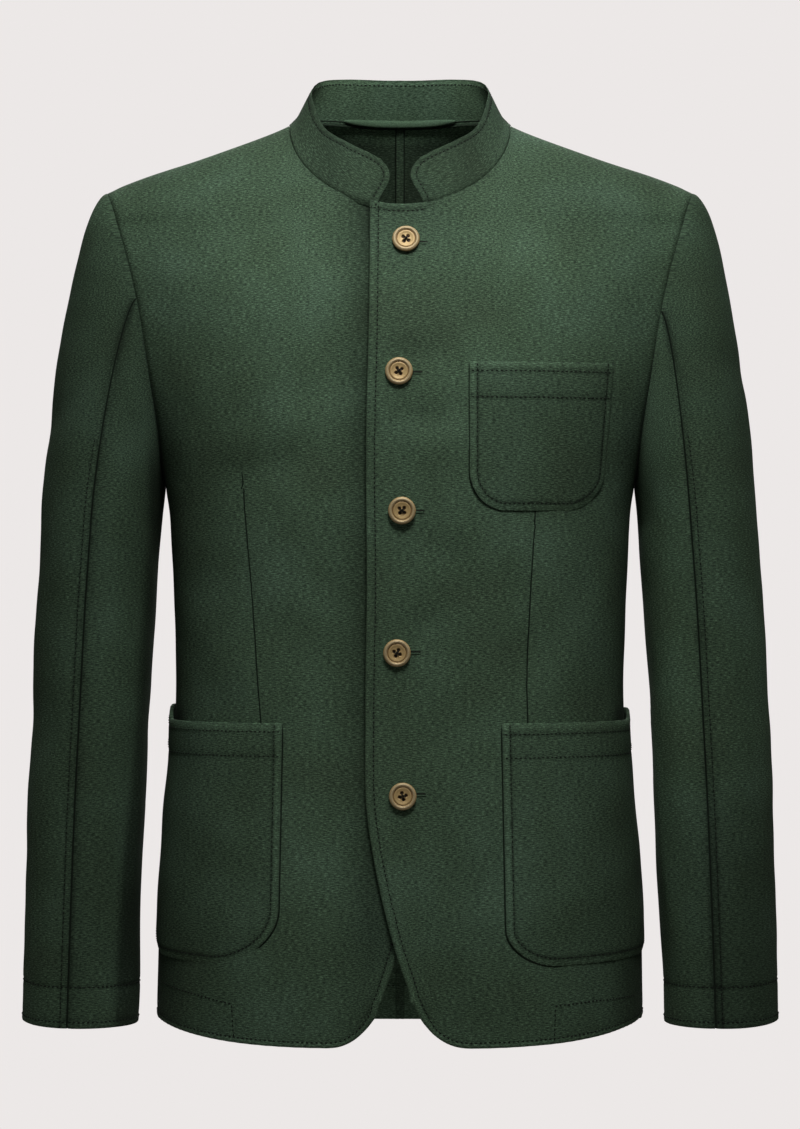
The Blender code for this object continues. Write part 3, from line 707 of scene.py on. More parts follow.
def tubeAlong(path, normals, radius, height=None, sides=8):
    # a rounded cord laid along a path, with its ends drawn to points
    height = height or radius
    along = unit(np.gradient(path, axis=0))
    side = unit(np.cross(normals, along))
    up = np.cross(along, side)
    step = np.arange(len(path))
    taper = np.sqrt(np.clip(np.minimum(step, step[::-1]) / 2, 0, 1))[:, None, None]
    turn = np.linspace(0, 2 * np.pi, sides, endpoint=False)[None, :, None]
    radius = np.broadcast_to(radius, len(path))[:, None, None]
    ring = radius * np.cos(turn) * side[:, None] + height * np.sin(turn) * up[:, None]
    points = path[:, None] + ring * np.maximum(taper, 0.02)
    index = np.arange(len(path) * sides).reshape(len(path), sides)
    after = np.roll(index, -1, axis=1)
    quads = np.stack([index[:-1], after[:-1], after[1:], index[1:]], axis=-1).reshape(-1, 4)
    return points.reshape(-1, 3), quads


def faint(path, normals):
    # a seam's path, sunk in the cloth where the seam hardly shows
    return path - 0.0009 * (1 - seamFade(path))[:, None] * normals, normals


def seamLine(name, paths, mirror=False, radius=0.0006):
    # the shaded cleft where two pieces meet, drawn as a dark cord of painted shadow
    tubes = [
        tubeAlong(onSide(path, mirror), onSide(normals, mirror), radius, 0.0005, 6) for path, normals in paths
    ]
    return joinParts("seam_" + name, tubes, seamShade)


# fronts: places are (x, z) in metres, seen from the front; spots are painted shade, or painted light where it
# is negative
# sideShade and frontShade are painted shade at the sides and beside the armhole, painted light near the
# shoulder seam and on low edges
sideShade = 0.26
frontShade = dict(shoulder=0.40, lowLip=0.45, armhole=0.42)
dartFold = dict(height=-0.0008, width=0.0040)
collarEndColumn = int(np.argmin(np.abs(frontPoints[-1, :, 0] - 0.0192)))
frontShadeSpots = (
    dict(x=0.085, z=-0.195, wide=0.060, tall=0.075, shade=-0.14),
    dict(x=0.112, z=-0.128, wide=0.040, tall=0.040, shade=-0.12),
    dict(x=0.175, z=-0.468, wide=0.008, tall=0.009, shade=0.70),
    dict(x=0.000, z=-0.078, wide=0.045, tall=0.028, shade=0.34),
)
leftDetails = dict(
    standsOff=0.0020, cutAway=-0.0038, cutFrom=-0.672, cutRun=0.024,
    shadeSpots=(
        dict(x=0.006, z=-0.178, wide=0.036, tall=0.014, shade=0.26),
        dict(x=0.012, z=-0.232, wide=0.026, tall=0.010, shade=0.16),
        dict(x=0.016, z=-0.388, wide=0.030, tall=0.016, shade=0.12),
        dict(x=0.020, z=-0.330, wide=0.030, tall=0.012, shade=0.06),
        dict(x=0.135, z=-0.062, wide=0.055, tall=0.040, shade=0.19),
        dict(x=0.120, z=-0.170, wide=0.060, tall=0.050, shade=-0.08),
        dict(x=0.050, z=-0.610, wide=0.050, tall=0.080, shade=0.14),
    ),
    dart=[(0.1050, -0.300), (0.1010, -0.372), (0.0982, -0.4424), (0.0990, -0.480)],
    hemTack=[(0.1851, -0.6867), (0.1516, -0.6869), (0.1198, -0.6889), (0.1190, -0.7150)],
    creases=(
        dict(path=[(0.150, -0.330), (0.120, -0.400), (0.060, -0.455)], height=-0.0012, width=0.020),
        dict(path=[(0.165, -0.360), (0.130, -0.440), (0.090, -0.470)], height=0.0010, width=0.018),
        dict(path=[(0.178, -0.285), (0.170, -0.240), (0.160, -0.200)], height=-0.0014, width=0.014),
        dict(path=[(0.020, -0.560), (0.050, -0.640), (0.090, -0.700)], height=0.0012, width=0.024),
        dict(path=[(-0.012, -0.180), (0.012, -0.186), (0.045, -0.176)], height=-0.0013, width=0.012),
        dict(path=[(-0.012, -0.226), (0.020, -0.234), (0.055, -0.225)], height=-0.0016, width=0.012),
        dict(path=[(-0.010, -0.248), (0.025, -0.257), (0.060, -0.248)], height=0.0012, width=0.013),
        dict(path=[(-0.008, -0.320), (0.020, -0.331), (0.055, -0.352)], height=-0.0015, width=0.013),
        dict(path=[(-0.006, -0.404), (0.030, -0.386), (0.065, -0.362)], height=-0.0015, width=0.013),
        dict(path=[(-0.006, -0.505), (0.030, -0.485), (0.060, -0.455)], height=-0.0010, width=0.015),
        dict(path=[(0.030, -0.100), (0.090, -0.125), (0.145, -0.155)], height=0.0016, width=0.030),
    ),
)
rightDetails = dict(
    drawnIn=0.0026, cutAway=0.0046, cutFrom=-0.600, cutRun=0.045, cutEnd=-0.6965, endRun=0.0145,
    # painted shadow on the under front beside the over front's edge: strength and width of each band
    bandX=0.0245, bands=((0.52, 0.0180), (0.14, 0.0040)),
    shadeSpots=(
        dict(x=0.100, z=-0.268, wide=0.050, tall=0.010, shade=0.10),
        dict(x=0.050, z=-0.175, wide=0.020, tall=0.014, shade=0.10),
        dict(x=0.055, z=-0.385, wide=0.024, tall=0.020, shade=0.08),
        dict(x=0.032, z=-0.200, wide=0.014, tall=0.018, shade=0.15),
        dict(x=0.032, z=-0.246, wide=0.012, tall=0.018, shade=0.15),
        dict(x=0.060, z=-0.600, wide=0.050, tall=0.080, shade=-0.06),
        dict(x=0.016, z=-0.674, wide=0.018, tall=0.030, shade=-0.45),
    ),
    dart=[(0.1230, -0.2768), (0.1154, -0.372), (0.1076, -0.475)],
    hemTack=[(0.1879, -0.6773), (0.1597, -0.6822), (0.1301, -0.6878), (0.1285, -0.7150)],
    creases=(
        dict(path=[(0.160, -0.340), (0.110, -0.390), (0.050, -0.430)], height=-0.0014, width=0.020),
        dict(path=[(0.170, -0.390), (0.120, -0.440), (0.080, -0.460)], height=0.0010, width=0.018),
        dict(path=[(0.178, -0.285), (0.170, -0.240), (0.160, -0.200)], height=-0.0014, width=0.014),
        dict(path=[(0.040, -0.560), (0.060, -0.640), (0.080, -0.700)], height=0.0010, width=0.024),
        dict(path=[(0.050, -0.258), (0.100, -0.270), (0.155, -0.288)], height=-0.0016, width=0.016),
        dict(path=[(0.040, -0.300), (0.080, -0.314), (0.110, -0.320)], height=0.0012, width=0.018),
        dict(path=[(0.045, -0.115), (0.095, -0.140), (0.145, -0.160)], height=0.0018, width=0.032),
        dict(path=[(0.030, -0.200), (0.060, -0.215), (0.100, -0.222)], height=-0.0012, width=0.015),
        dict(path=[(0.030, -0.385), (0.055, -0.372), (0.085, -0.352)], height=-0.0012, width=0.014),
    ),
)


def makeFront(name, details, under, seed):
    # the front's form with a lip at its free edges, valleys at its seams, a dart, creases and unevenness
    points = frontPoints
    x, z = points[..., 0], points[..., 2]
    # the two lower corners differ: the under front is cut away higher up, the over front less far in
    shift = details["cutAway"] * ease((details["cutFrom"] - z) / details["cutRun"]) * ease((0.075 - x) / 0.05)
    if under:
        points = points - cloth["underlap"] * tuck(x)[..., None] * frontNormals
        shift = shift * ease((z - details["cutEnd"]) / details["endRun"])
    moved = bodyPoint(angleAt(x + shift, z, True), z, True)
    points = points + moved - bodyPoint(angleAt(x, z, True), z, True)
    k = collarEndColumn
    freeEdge, freeNormals = (
        np.concatenate([g[-1, k:0:-1], g[::-1, 0], g[0, 1:]]) for g in (points, frontNormals)
    )
    toFree = distanceTo(points, freeEdge, cloth["edgeSpacing"])
    toSeam = distanceTo(points, np.concatenate([points[-1, k:], points[:, -1]]))
    soft = ease(toSeam / cloth["calm"])
    clear = seamFade(points)
    x, z = points[..., 0], points[..., 2]
    relief = lipRelief(toFree, hemDrop(z)) + seamRelief(toSeam) * clear
    # painted shade along seams and stitches, at the sides, beside the armhole and in spots; painted light near
    # the shoulder seam and on the low edges
    paintedShade = seamShadow(toSeam) * clear + stitchShadow(toFree + hemDrop(z))
    paintedShade -= frontShade["shoulder"] * (1 - clear) * bell(toSeam, 0.004, 0.012) * ease((x - 0.10) / 0.03)
    paintedShade -= frontShade["lowLip"] * bell(toFree, 0.0016, 0.0024) * ease((-0.60 - z) / 0.06)
    paintedShade += sideShade * ease((x - 0.10) / 0.07) * ease((-0.24 - z) / 0.10)
    paintedShade += frontShade["armhole"] * ease((x - 0.160) / 0.022) * ease((-0.185 - z) / 0.07)
    for spot in frontShadeSpots + details["shadeSpots"]:
        paintedShade += spot["shade"] * bell(x, spot["x"], spot["wide"]) * bell(z, spot["z"], spot["tall"])
    if under:
        relief -= details["drawnIn"] * bell(x, 0.027, 0.012)
        # painted shadow beside the over front's edge
        pastEdge = np.maximum(x - details["bandX"], 0)
        for shade, width in details["bands"]:
            paintedShade += shade * bell(pastEdge, 0, width)
    else:
        relief += details["standsOff"] * bell(distanceTo(points, points[:, 0]), 0, 0.010)
    relief += soft * (ripple(points, seed, 0.16, 0.0006) + ripple(points, seed + 1, 0.05, 0.00022))
    relief += soft * creaseRelief(points, details["creases"], frontPath)
    relief += creaseRelief(points, [dict(dartFold, path=details["dart"])], frontPath)
    points = points + relief[..., None] * frontNormals
    bulge = makeBorder(points, edge["round"], cloth["seamBulge"], cloth["seamBulge"], edge["round"])
    piece = makeShell(name, onSide(points, under), onSide(frontNormals, under), bulge, under, paintedShade)
    stitches, lower = (insetPath(freeEdge, freeNormals, edge[key]) for key in ("stitchIn", "hemIn"))
    stitches += hemDrop(lower[:, 2:]) / hemDrop(-1.0) * (lower - stitches)
    rows = [layOn(path, points, frontNormals) for path in (stitches, frontPath(details["hemTack"]))]
    sewn = sewOn(name, rows, under)
    top = panel["neckColumns"]
    seams = [
        layOn(frontPath(details["dart"]), points, frontNormals),
        faint(points[:, -1], frontNormals[:, -1]),
        faint(points[-1, top:], frontNormals[-1, top:]),
    ]
    return piece, points, [sewn, seamLine(name, seams, under)]


frontLeft, leftSurface, leftExtras = makeFront("front_left", leftDetails, False, 11)
frontRight, _, rightExtras = makeFront("front_right", rightDetails, True, 23)
print("fronts made")

# backs: the same treatment, with a straight hem and a seam down the middle
backDetails = dict(
    creases=(
        dict(path=[(0.150, -0.330), (0.110, -0.390), (0.050, -0.420)], height=-0.0014, width=0.020),
        dict(path=[(0.165, -0.400), (0.110, -0.450), (0.040, -0.470)], height=-0.0012, width=0.018),
        dict(path=[(0.140, -0.370), (0.090, -0.430), (0.040, -0.445)], height=0.0010, width=0.016),
        dict(path=[(0.172, -0.260), (0.160, -0.190), (0.150, -0.130)], height=-0.0018, width=0.018),
        dict(path=[(0.060, -0.560), (0.080, -0.640), (0.085, -0.700)], height=0.0012, width=0.026),
    ),
    hemStitch=0.0270, hemTopZ=-0.6935,
)


def backPath(corners, spacing=0.002):
    spots = densePath(corners, spacing)
    return bodyPoint(angleAt(spots[:, 0], spots[:, 1], False), spots[:, 1], False)


def makeBack(name, mirror, seed):
    points = backPoints
    toFree = distanceTo(points, points[0], cloth["edgeSpacing"])
    toSeam = distanceTo(points, np.concatenate([points[-1], points[:, -1], points[:, 0]]))
    soft = ease(toSeam / cloth["calm"])
    drop = hemDrop(-1.0)
    relief = lipRelief(toFree, drop) + seamRelief(toSeam)
    relief += soft * (ripple(points, seed, 0.16, 0.0007) + ripple(points, seed + 1, 0.05, 0.00022))
    relief += soft * creaseRelief(points, backDetails["creases"], backPath)
    points = points + relief[..., None] * backNormals
    # painted shade along the seams and stitches
    paintedShade = seamShadow(toSeam) + stitchShadow(toFree + drop)
    # the inside's painted light and shade: lit low down, dark below the neck and lit at its top, with a dark
    # line at the top of the turned-up hem
    z = points[..., 2]
    insideShade = -0.7 + 1.38 * ease((z + 0.30) / 0.22) - 2.6 * ease((z + 0.006) / 0.018)
    insideShade += 0.8 * bell(z, backDetails["hemTopZ"], 0.0022)
    bulge = makeBorder(points, edge["round"], cloth["seamBulge"], cloth["seamBulge"], cloth["seamBulge"])
    outer, facing = onSide(points, mirror), onSide(backNormals, mirror)
    piece = makeShell(name, outer, facing, bulge, not mirror, paintedShade, insideShade=insideShade.ravel())
    inner = points - cloth["wall"] * backNormals
    hem, hemNormals = points[0, ::-1], backNormals[0, ::-1]
    edgeRow, hemRow = (insetPath(hem, hemNormals, d) for d in (edge["hemIn"], backDetails["hemStitch"]))
    rows = [layOn(row, points, backNormals) for row in (edgeRow, hemRow)]
    rows.append(layOn(hemRow, inner, -backNormals))
    sewn = sewOn(name, rows, mirror)
    seams = [(points[:, 0], backNormals[:, 0]), (points[:, -1], backNormals[:, -1])]
    return piece, [sewn, seamLine(name, seams, mirror)]


backLeft, backLeftExtras = makeBack("back_left", False, 37)
backRight, backRightExtras = makeBack("back_right", True, 53)
print("backs made")

# sleeves: a curved cap from the armhole to the biceps, then a slightly bent tube
# turns round the arm go from the shoulder towards the front
sleeve = dict(
    cuffZ=-0.710, outerRise=0.0022, bicepsZ=-0.320, backTwist=0.14, drift=0.07, leaveTop=(1.0, 0, -0.15),
    leaveUnder=(0.32, 0, -1.0), startPull=0.235, endPull=1.10, rowCrowding=1.15, columnCrowding=0.55,
    capRows=64, tubeRows=130, upperColumns=70, underColumns=72, backSeam=-np.pi / 2,
    frontSeam=dict(left=1.439, right=1.356), frontTwist=dict(left=0.38, right=0.16),
    cuffStitch=0.0045, hemStitch=0.0318, topstitch=0.0056, topstitchZ=-0.250, seamRadius=0.0008,
)
# painted shade on each sleeve piece, at the hem, along the topstitching, over the cap, low on the left sleeve
# and beside a fold; below nought it is painted light
sleeveShade = dict(
    upper_sleeve_left=-0.07, upper_sleeve_right=0.06, under_sleeve_left=-0.26, under_sleeve_right=0.12,
    hem=0.35, topstitch=0.34, cap=0.22, lowLeft=0.54, foldShadow=0.75,
)
sleeveSections = (
    dict(z=-0.710, outer=0.3004, inner=0.2087, depth=0.0510, midY=-0.0200),
    dict(z=-0.620, outer=0.2984, inner=0.2060, depth=0.0560, midY=-0.0150),
    dict(z=-0.540, outer=0.2970, inner=0.2028, depth=0.0610, midY=-0.0080),
    dict(z=-0.460, outer=0.2938, inner=0.1992, depth=0.0660, midY=-0.0020),
    dict(z=-0.380, outer=0.2906, inner=0.1948, depth=0.0700, midY=0.0000),
    dict(z=-0.320, outer=0.2872, inner=0.1902, depth=0.0730, midY=0.0000),
)


def sleeveAt(name, z):
    return tableCurve(sleeveSections, "z", name, z)


def sleeveRing(turn, z):
    outer, inner = sleeveAt("outer", z), sleeveAt("inner", z)
    x = (outer + inner) / 2 + (outer - inner) / 2 * np.cos(turn)
    y = sleeveAt("midY", z) - sleeveAt("depth", z) * np.sin(turn)
    return np.stack([x, y, z + 0 * x], axis=-1)


def sleevePoints(turn, frontTwist):
    # Hermite curve of the cap, column by column, then rings down to the cuff
    start = armholeLoop(turn) + (cloth["seamGap"], 0, 0)
    twist = np.where(np.sin(turn) > 0, frontTwist, sleeve["backTwist"])
    turned = turn + twist * np.sin(turn) * np.abs(np.sin(turn))
    level = np.full(len(turn), sleeve["bicepsZ"])
    biceps = sleeveRing(turned, level)
    chord = np.linalg.norm(biceps - start, axis=1, keepdims=True)
    outward = (1 + np.cos(turned)) / 2
    top = outward[:, None]
    leave = unit(np.array(sleeve["leaveTop"]) * top + np.array(sleeve["leaveUnder"]) * (1 - top))
    slope = unit(sleeveRing(turned, level - 0.004) - biceps)
    t = np.linspace(0, 1, sleeve["capRows"] + 1)[:, None, None] ** sleeve["rowCrowding"]
    cap = (
        start * (1 + 2 * t) * (1 - t) ** 2
        + biceps * t**2 * (3 - 2 * t)
        + leave * sleeve["startPull"] * chord * t * (1 - t) ** 2
        - slope * sleeve["endPull"] * chord * t**2 * (1 - t)
    )
    s = 1 - (1 - np.linspace(0, 1, sleeve["tubeRows"] + 1)[1:, None]) ** sleeve["rowCrowding"]
    cuffZ = sleeve["cuffZ"] + sleeve["outerRise"] * outward**4
    levels = sleeve["bicepsZ"] + (cuffZ - sleeve["bicepsZ"]) * s
    drift = sleeve["drift"] * np.clip(np.sin(turn), 0, 1) ** 2 * s
    return np.concatenate([cap, sleeveRing(turned - drift, levels)])


def sleeveGrid(first, last, columns, frontTwist):
    # rows run from the armhole down, columns round the arm; seam edges stand half a gap back
    share = np.linspace(0, 1, columns)
    crowd = sleeve["columnCrowding"] * np.sin(2 * np.pi * share) / (2 * np.pi)
    turn = first + (last - first) * (share - crowd)
    points = sleevePoints(turn, frontTwist)
    around = sleevePoints(turn + 0.02, frontTwist) - sleevePoints(turn - 0.02, frontTwist)
    normals = unit(np.cross(around, np.gradient(points, axis=0)))
    normals[0] = armholeOutward(turn)
    points[:, 0] += cloth["seamGap"] / 2 * unit(points[:, 1] - points[:, 0])
    points[:, -1] += cloth["seamGap"] / 2 * unit(points[:, -2] - points[:, -1])
    return points, normals


# creases of the sleeves: (share round the piece, share down the sleeve)
sleeveCreases = dict(
    upper_sleeve_left=(
        dict(path=[(0.95, 0.12), (0.70, 0.20), (0.45, 0.24)], height=-0.0016, width=0.014),
        dict(path=[(0.98, 0.50), (0.70, 0.54), (0.40, 0.52)], height=-0.0008, width=0.016),
        dict(path=[(0.95, 0.60), (0.65, 0.66), (0.35, 0.63)], height=0.0007, width=0.018),
        dict(path=[(0.05, 0.48), (0.25, 0.54), (0.38, 0.56)], height=-0.0014, width=0.016),
    ),
    under_sleeve_left=(
        dict(path=[(0.05, 0.22), (0.30, 0.34), (0.45, 0.42)], height=-0.0022, width=0.012),
        dict(path=[(0.20, 0.12), (0.40, 0.28), (0.52, 0.36)], height=-0.0020, width=0.012),
        dict(path=[(0.45, 0.55), (0.42, 0.72), (0.30, 0.92)], height=0.0018, width=0.010),
        dict(path=[(0.95, 0.46), (0.70, 0.50), (0.50, 0.55)], height=-0.0018, width=0.014),
        dict(path=[(0.95, 0.58), (0.75, 0.60), (0.55, 0.66)], height=-0.0016, width=0.014),
    ),
)
rightCreases = dict(
    upper=dict(lower=0.035, width=1.15, height=1.0),
    under=dict(lower=0.030, width=1.0, height=0.85),
)
for part, change in rightCreases.items():
    sleeveCreases[part + "_sleeve_right"] = tuple(
        dict(
            path=[(u, v + change["lower"]) for u, v in crease["path"]],
            height=crease["height"] * change["height"],
            width=crease["width"] * change["width"],
        )
        for crease in sleeveCreases[part + "_sleeve_left"]
    )


def gridSpots(points, normals, corners, spacing=0.01):
    spots = densePath(corners, spacing)
    return gridPath(points, normals, spots[:, 1] * (points.shape[0] - 1), spots[:, 0] * (points.shape[1] - 1))


def makeSleevePiece(name, grid, mirror, seed):
    form, normals = grid
    upper = name.startswith("upper")
    toSeam = distanceTo(form, np.concatenate([form[0], form[:, 0], form[:, -1]]))
    toCuff = distanceTo(form, form[-1], cloth["edgeSpacing"])
    soft = ease(toSeam / cloth["calm"])
    relief = seamRelief(toSeam) * seamFade(form) + 0.4 * lipRelief(toCuff)
    relief -= edge["press"] * bell(toCuff, sleeve["hemStitch"], 0.002)
    relief += soft * (ripple(form, seed, 0.13, 0.0008) + ripple(form, seed + 1, 0.045, 0.00025))
    relief += soft * creaseRelief(form, sleeveCreases[name], lambda path: gridSpots(form, normals, path)[0])
    points = form + relief[..., None] * normals
    x, z = points[..., 0], points[..., 2]
    # long seams show most on the upper arm, the armhole's seam hardly at all over the shoulder
    toSide = distanceTo(form, np.concatenate([points[:, 0], points[:, -1]]))
    clear = 1 + 0.5 * ease((z + 0.55) / 0.25) * (toSide < 0.03)
    clear = np.where(toSide < toSeam + 0.0001, clear, seamFade(points))
    # painted shade along seams, stitches, the hem and the topstitching, over the cap and by piece
    paintedShade = seamShadow(toSeam) * clear + stitchShadow(toCuff)
    paintedShade += sleeveShade["hem"] * bell(toCuff, sleeve["hemStitch"], 0.0018)
    paintedShade += sleeveShade["cap"] * bell(z, -0.19, 0.09) + sleeveShade[name]
    if upper:
        toFront = distanceTo(form, points[:, -1], 0.003)
        row = bell(toFront, sleeve["topstitch"], 0.0014)
        paintedShade += sleeveShade["topstitch"] * row * ease((-0.22 - z) / 0.25)
    low = ease((-0.47 - z) / 0.12)
    capTop = ease((z + 0.095) / 0.03)
    if mirror:
        # painted light low down and at the top of the cap
        paintedShade -= 0.14 * ease((-0.655 - z) / 0.03) + 0.30 * capTop
    else:  # painted light on the edges beside the body and outside
        lit = 0.36 * bell(x - sleeveAt("inner", z), 0.011, 0.014)
        lit += 0.26 * bell(sleeveAt("outer", z) - x, 0.007, 0.012)
        # painted shade low on the sleeve and a little at the top of the cap
        paintedShade += sleeveShade["lowLeft"] * low + 0.10 * capTop
        paintedShade -= lit * ease((-0.27 - z) / 0.08) * (1 - 0.6 * low)
    if mirror and not upper:  # painted shade, as if turned away behind a fold near the body
        foldShadow = sleeveAt("inner", z) + 0.012 + 0.007 * ease((-0.45 - z) / 0.2)
        paintedShade += sleeveShade["foldShadow"] * ease((foldShadow - x) / 0.008) * ease((-0.23 - z) / 0.06)
        paintedShade += 0.15 * ease((-0.48 - z) / 0.1)
    bulge = makeBorder(points, cloth["seamBulge"], cloth["seamBulge"], edge["round"], cloth["seamBulge"])
    piece = makeShell(name, onSide(points, mirror), onSide(normals, mirror), bulge, mirror, paintedShade)
    v = arcLengths(points[::-1])[1]
    lastRow, lastColumn = points.shape[0] - 1, points.shape[1] - 1
    columns = np.arange(lastColumn + 1)
    distances = (sleeve["cuffStitch"], sleeve["hemStitch"])
    paths = [gridPath(points, normals, lastRow - rowAt(v, distance), columns) for distance in distances]
    if upper:
        at = lastColumn - columnAt(arcLengths(points[:, ::-1])[0], sleeve["topstitch"])
        start = int(np.argmax(z[:, -1] < sleeve["topstitchZ"]))
        paths.append(gridPath(points, normals, np.arange(start, lastRow + 1), at[start:]))
    sewn = sewOn(name, paths, mirror)
    seams = [faint(points[0], normals[0]), (points[:, -1], normals[:, -1])]
    return piece, [sewn, seamLine(name, seams, mirror, sleeve["seamRadius"])]


for side, mirror, seed in (("left", False, 61), ("right", True, 71)):
    front, back, twist = sleeve["frontSeam"][side], sleeve["backSeam"], sleeve["frontTwist"][side]
    grids = dict(
        upper=sleeveGrid(back, front, sleeve["upperColumns"], twist),
        under=sleeveGrid(front, back + 2 * np.pi, sleeve["underColumns"], twist),
    )
    for part, later in (("upper", 0), ("under", 22)):
        name = part + "_sleeve_" + side
        makeSleevePiece(name, grids[part], mirror, seed + later)
print("sleeves made")

# stand collar
collar = dict(
    topHalf=0.0712, topMidY=-0.010, topHalfDepth=0.068, rows=36, columns=300, rowCrowding=1.25,
    columnCrowding=1.3, stitchIn=0.0040, below=0.08, footEnd=0.05, footIn=0.0003, shade=0.37,
    seamAbove=0.0012, seamRadius=0.0007,
)
collarTop = (
    dict(angle=0, z=0.0468),
    dict(angle=40, z=0.0454),
    dict(angle=60, z=0.0422),
    dict(angle=72, z=0.0384),
    dict(angle=84, z=0.0322),
    dict(angle=100, z=0.0212),
    dict(angle=122, z=-0.0030),
    dict(angle=143, z=-0.0157),
    dict(angle=162, z=-0.0266),
    dict(angle=172, z=-0.0338),
    dict(angle=180, z=-0.0400),
)
collarEnd = (
    dict(share=0.00, angle=167.5),
    dict(share=0.30, angle=170.2),
    dict(share=0.52, angle=172.4),
    dict(share=0.68, angle=173.3),
    dict(share=0.80, angle=173.0),
    dict(share=0.89, angle=171.9),
    dict(share=0.95, angle=170.2),
    dict(share=1.00, angle=167.0),
)


def collarBase(angle):
    # point of the neckline at an angle from the centre back, on the panels' form
    x, z = neckline(np.abs(angle))
    front = bodyPoint(angleAt(x, z, True), z, True)
    back = bodyPoint(angleAt(x, z, False), z, False)
    point = np.where((np.abs(angle) > np.pi / 2)[..., None], front, back)
    return point * np.stack([np.sign(angle), 1 + 0 * angle, 1 + 0 * angle], axis=-1)


def collarGrid():
    # rows run from just below the neck seam to the top edge, columns from the right front round to the left
    falling = (1 - np.linspace(0, 1, collar["rows"] + 1)) ** collar["rowCrowding"]
    shares = 1 - falling * (1 + collar["below"])
    ends = np.radians(tableCurve(collarEnd, "share", "angle", shares))
    spread = np.linspace(-1, 1, collar["columns"] + 1)
    angle = ends[:, None] * np.sin(spread * collar["columnCrowding"]) / np.sin(collar["columnCrowding"])
    base = collarBase(angle)
    # the neckline turns a corner at the shoulder seam, which the collar rounds off as it rises
    index, reach = np.arange(base.shape[1]), np.arange(-30, 31)
    weights = bell(reach, 0, 13)
    weights /= weights.sum()
    rounded = sum(w * base[:, np.clip(index + k, 0, index[-1])] for k, w in zip(reach, weights))
    base += (ease(shares / 0.30)[:, None] * bell(np.abs(angle), np.pi / 2, 0.7))[..., None] * (rounded - base)
    topZ = tableCurve(collarTop, "angle", "z", np.degrees(np.abs(angle)))
    topY = collar["topMidY"] + collar["topHalfDepth"] * np.cos(angle)
    top = np.stack([collar["topHalf"] * np.sin(angle), topY, topZ], axis=-1)
    points = base + (top - base) * shares[:, None, None]
    away = np.stack([np.sin(angle), np.cos(angle), 0 * angle], axis=-1)
    rising = unit(top - base)
    normals = unit(away - (away * rising).sum(-1, keepdims=True) * rising)
    # the under end steps back with its front, and the collar's foot turns in behind the panels' neck edge
    step = np.where(angle < -np.pi / 2, tuck(body["neckHalf"] * np.abs(np.sin(angle))), 0)
    foot = 1 - ease((shares + collar["below"]) / (collar["below"] + collar["footEnd"]))
    inward = cloth["underlap"] * step + (cloth["wall"] + collar["footIn"]) * foot[:, None]
    return points - inward[..., None] * normals, normals


collarPoints, collarNormals = collarGrid()
collarFree, freeNormals = (
    np.concatenate([g[:, 0], g[-1, 1:-1], g[::-1, -1]]) for g in (collarPoints, collarNormals)
)
toFree = distanceTo(collarPoints, collarFree, cloth["edgeSpacing"])
toSeam = distanceTo(collarPoints, collarPoints[0])
relief = -edge["press"] * (bell(toFree, collar["stitchIn"], 0.0016) + bell(toFree, 0, 0.0012))
relief += ease(toSeam / 0.015) * ripple(collarPoints, 7, 0.09, 0.0004)
collarSurface = collarPoints + relief[..., None] * collarNormals
collarInner = collarPoints - (cloth["wall"] - 0.0011 * bell(toFree, 0, 0.0030))[..., None] * collarNormals
# painted shade: darker all over, near the edges, at the seam, on the sides and along the stitches
paintedShade = collar["shade"] + 0.12 * bell(toFree, 0, 0.014) + 0.5 * seamShadow(toSeam)
paintedShade += 0.22 * bell(np.abs(collarPoints[..., 0]), 0.056, 0.016)
paintedShade += stitchShadow(toFree + edge["stitchIn"] - collar["stitchIn"], 0.2)
# painted on the inside: shade below its own seam and light above it
middle = collarPoints[:, collar["columns"] // 2, 2]
row = int(np.argmin(np.abs(middle - collarBase(np.zeros(1))[0, 2] - collar["seamAbove"])))
insideShade = np.repeat(np.where(np.arange(len(middle)) < row, 0.9, -0.78), collarPoints.shape[1])
bulge = makeBorder(collarPoints, cloth["seamBulge"], edge["round"], edge["round"], edge["round"])
collarPiece = makeShell(
    "collar", collarSurface, collarNormals, bulge, True, paintedShade, collarInner, insideShade, level=False
)
path = insetPath(collarFree, freeNormals, collar["stitchIn"])
collarSewn = sewOn(
    "collar", [layOn(path, collarSurface, collarNormals), layOn(path, collarInner, -collarNormals)]
)
inside = slice(collar["columns"] // 4, -collar["columns"] // 4)
# a dark cord of painted shadow along the neck seam inside
collarSeam = seamLine(
    "collar", [(collarInner[row, inside], -collarNormals[row, inside])], radius=collar["seamRadius"]
)
print("collar made")

# patch pockets, laid on the body's form; rows are the stitches' distances from the mouth
pocket = dict(
    steps=60, rearAngle=np.radians(95.4), bottom=-0.659, width=0.150, height=0.188, rearRise=0.006,
    lift=0.0003, stitchIn=0.0054, stitchRadius=0.00040, shade=0.15,
)
gape = dict(height=0.0012, place=0.86, spread=0.14, depth=0.065)
chestPocket = dict(
    name="pocket_chest", mirror=False, x=0.054, bottom=-0.3056, width=0.1115, height=0.1136, radius=0.030,
    taper=0.085, rows=(0.0066, 0.0270), seed=101, line=0.0005, sinkRear=1, rowShade=0.38,
)
lowPockets = (
    dict(
        name="pocket_left", mirror=False, lowX=0.0828, highX=0.0792, radius=0.030, kick=0.0022,
        rows=(0.0080, 0.0262), seed=107, line=0.0009, sinkRear=0, rowShade=0.30,
    ),
    dict(
        name="pocket_right", mirror=True, lowX=0.0950, highX=0.0914, radius=0.045, kick=0.0052,
        rows=(0.0060, 0.0250), seed=113, line=0.0009, sinkRear=0, rowShade=0.30,
    ),
)


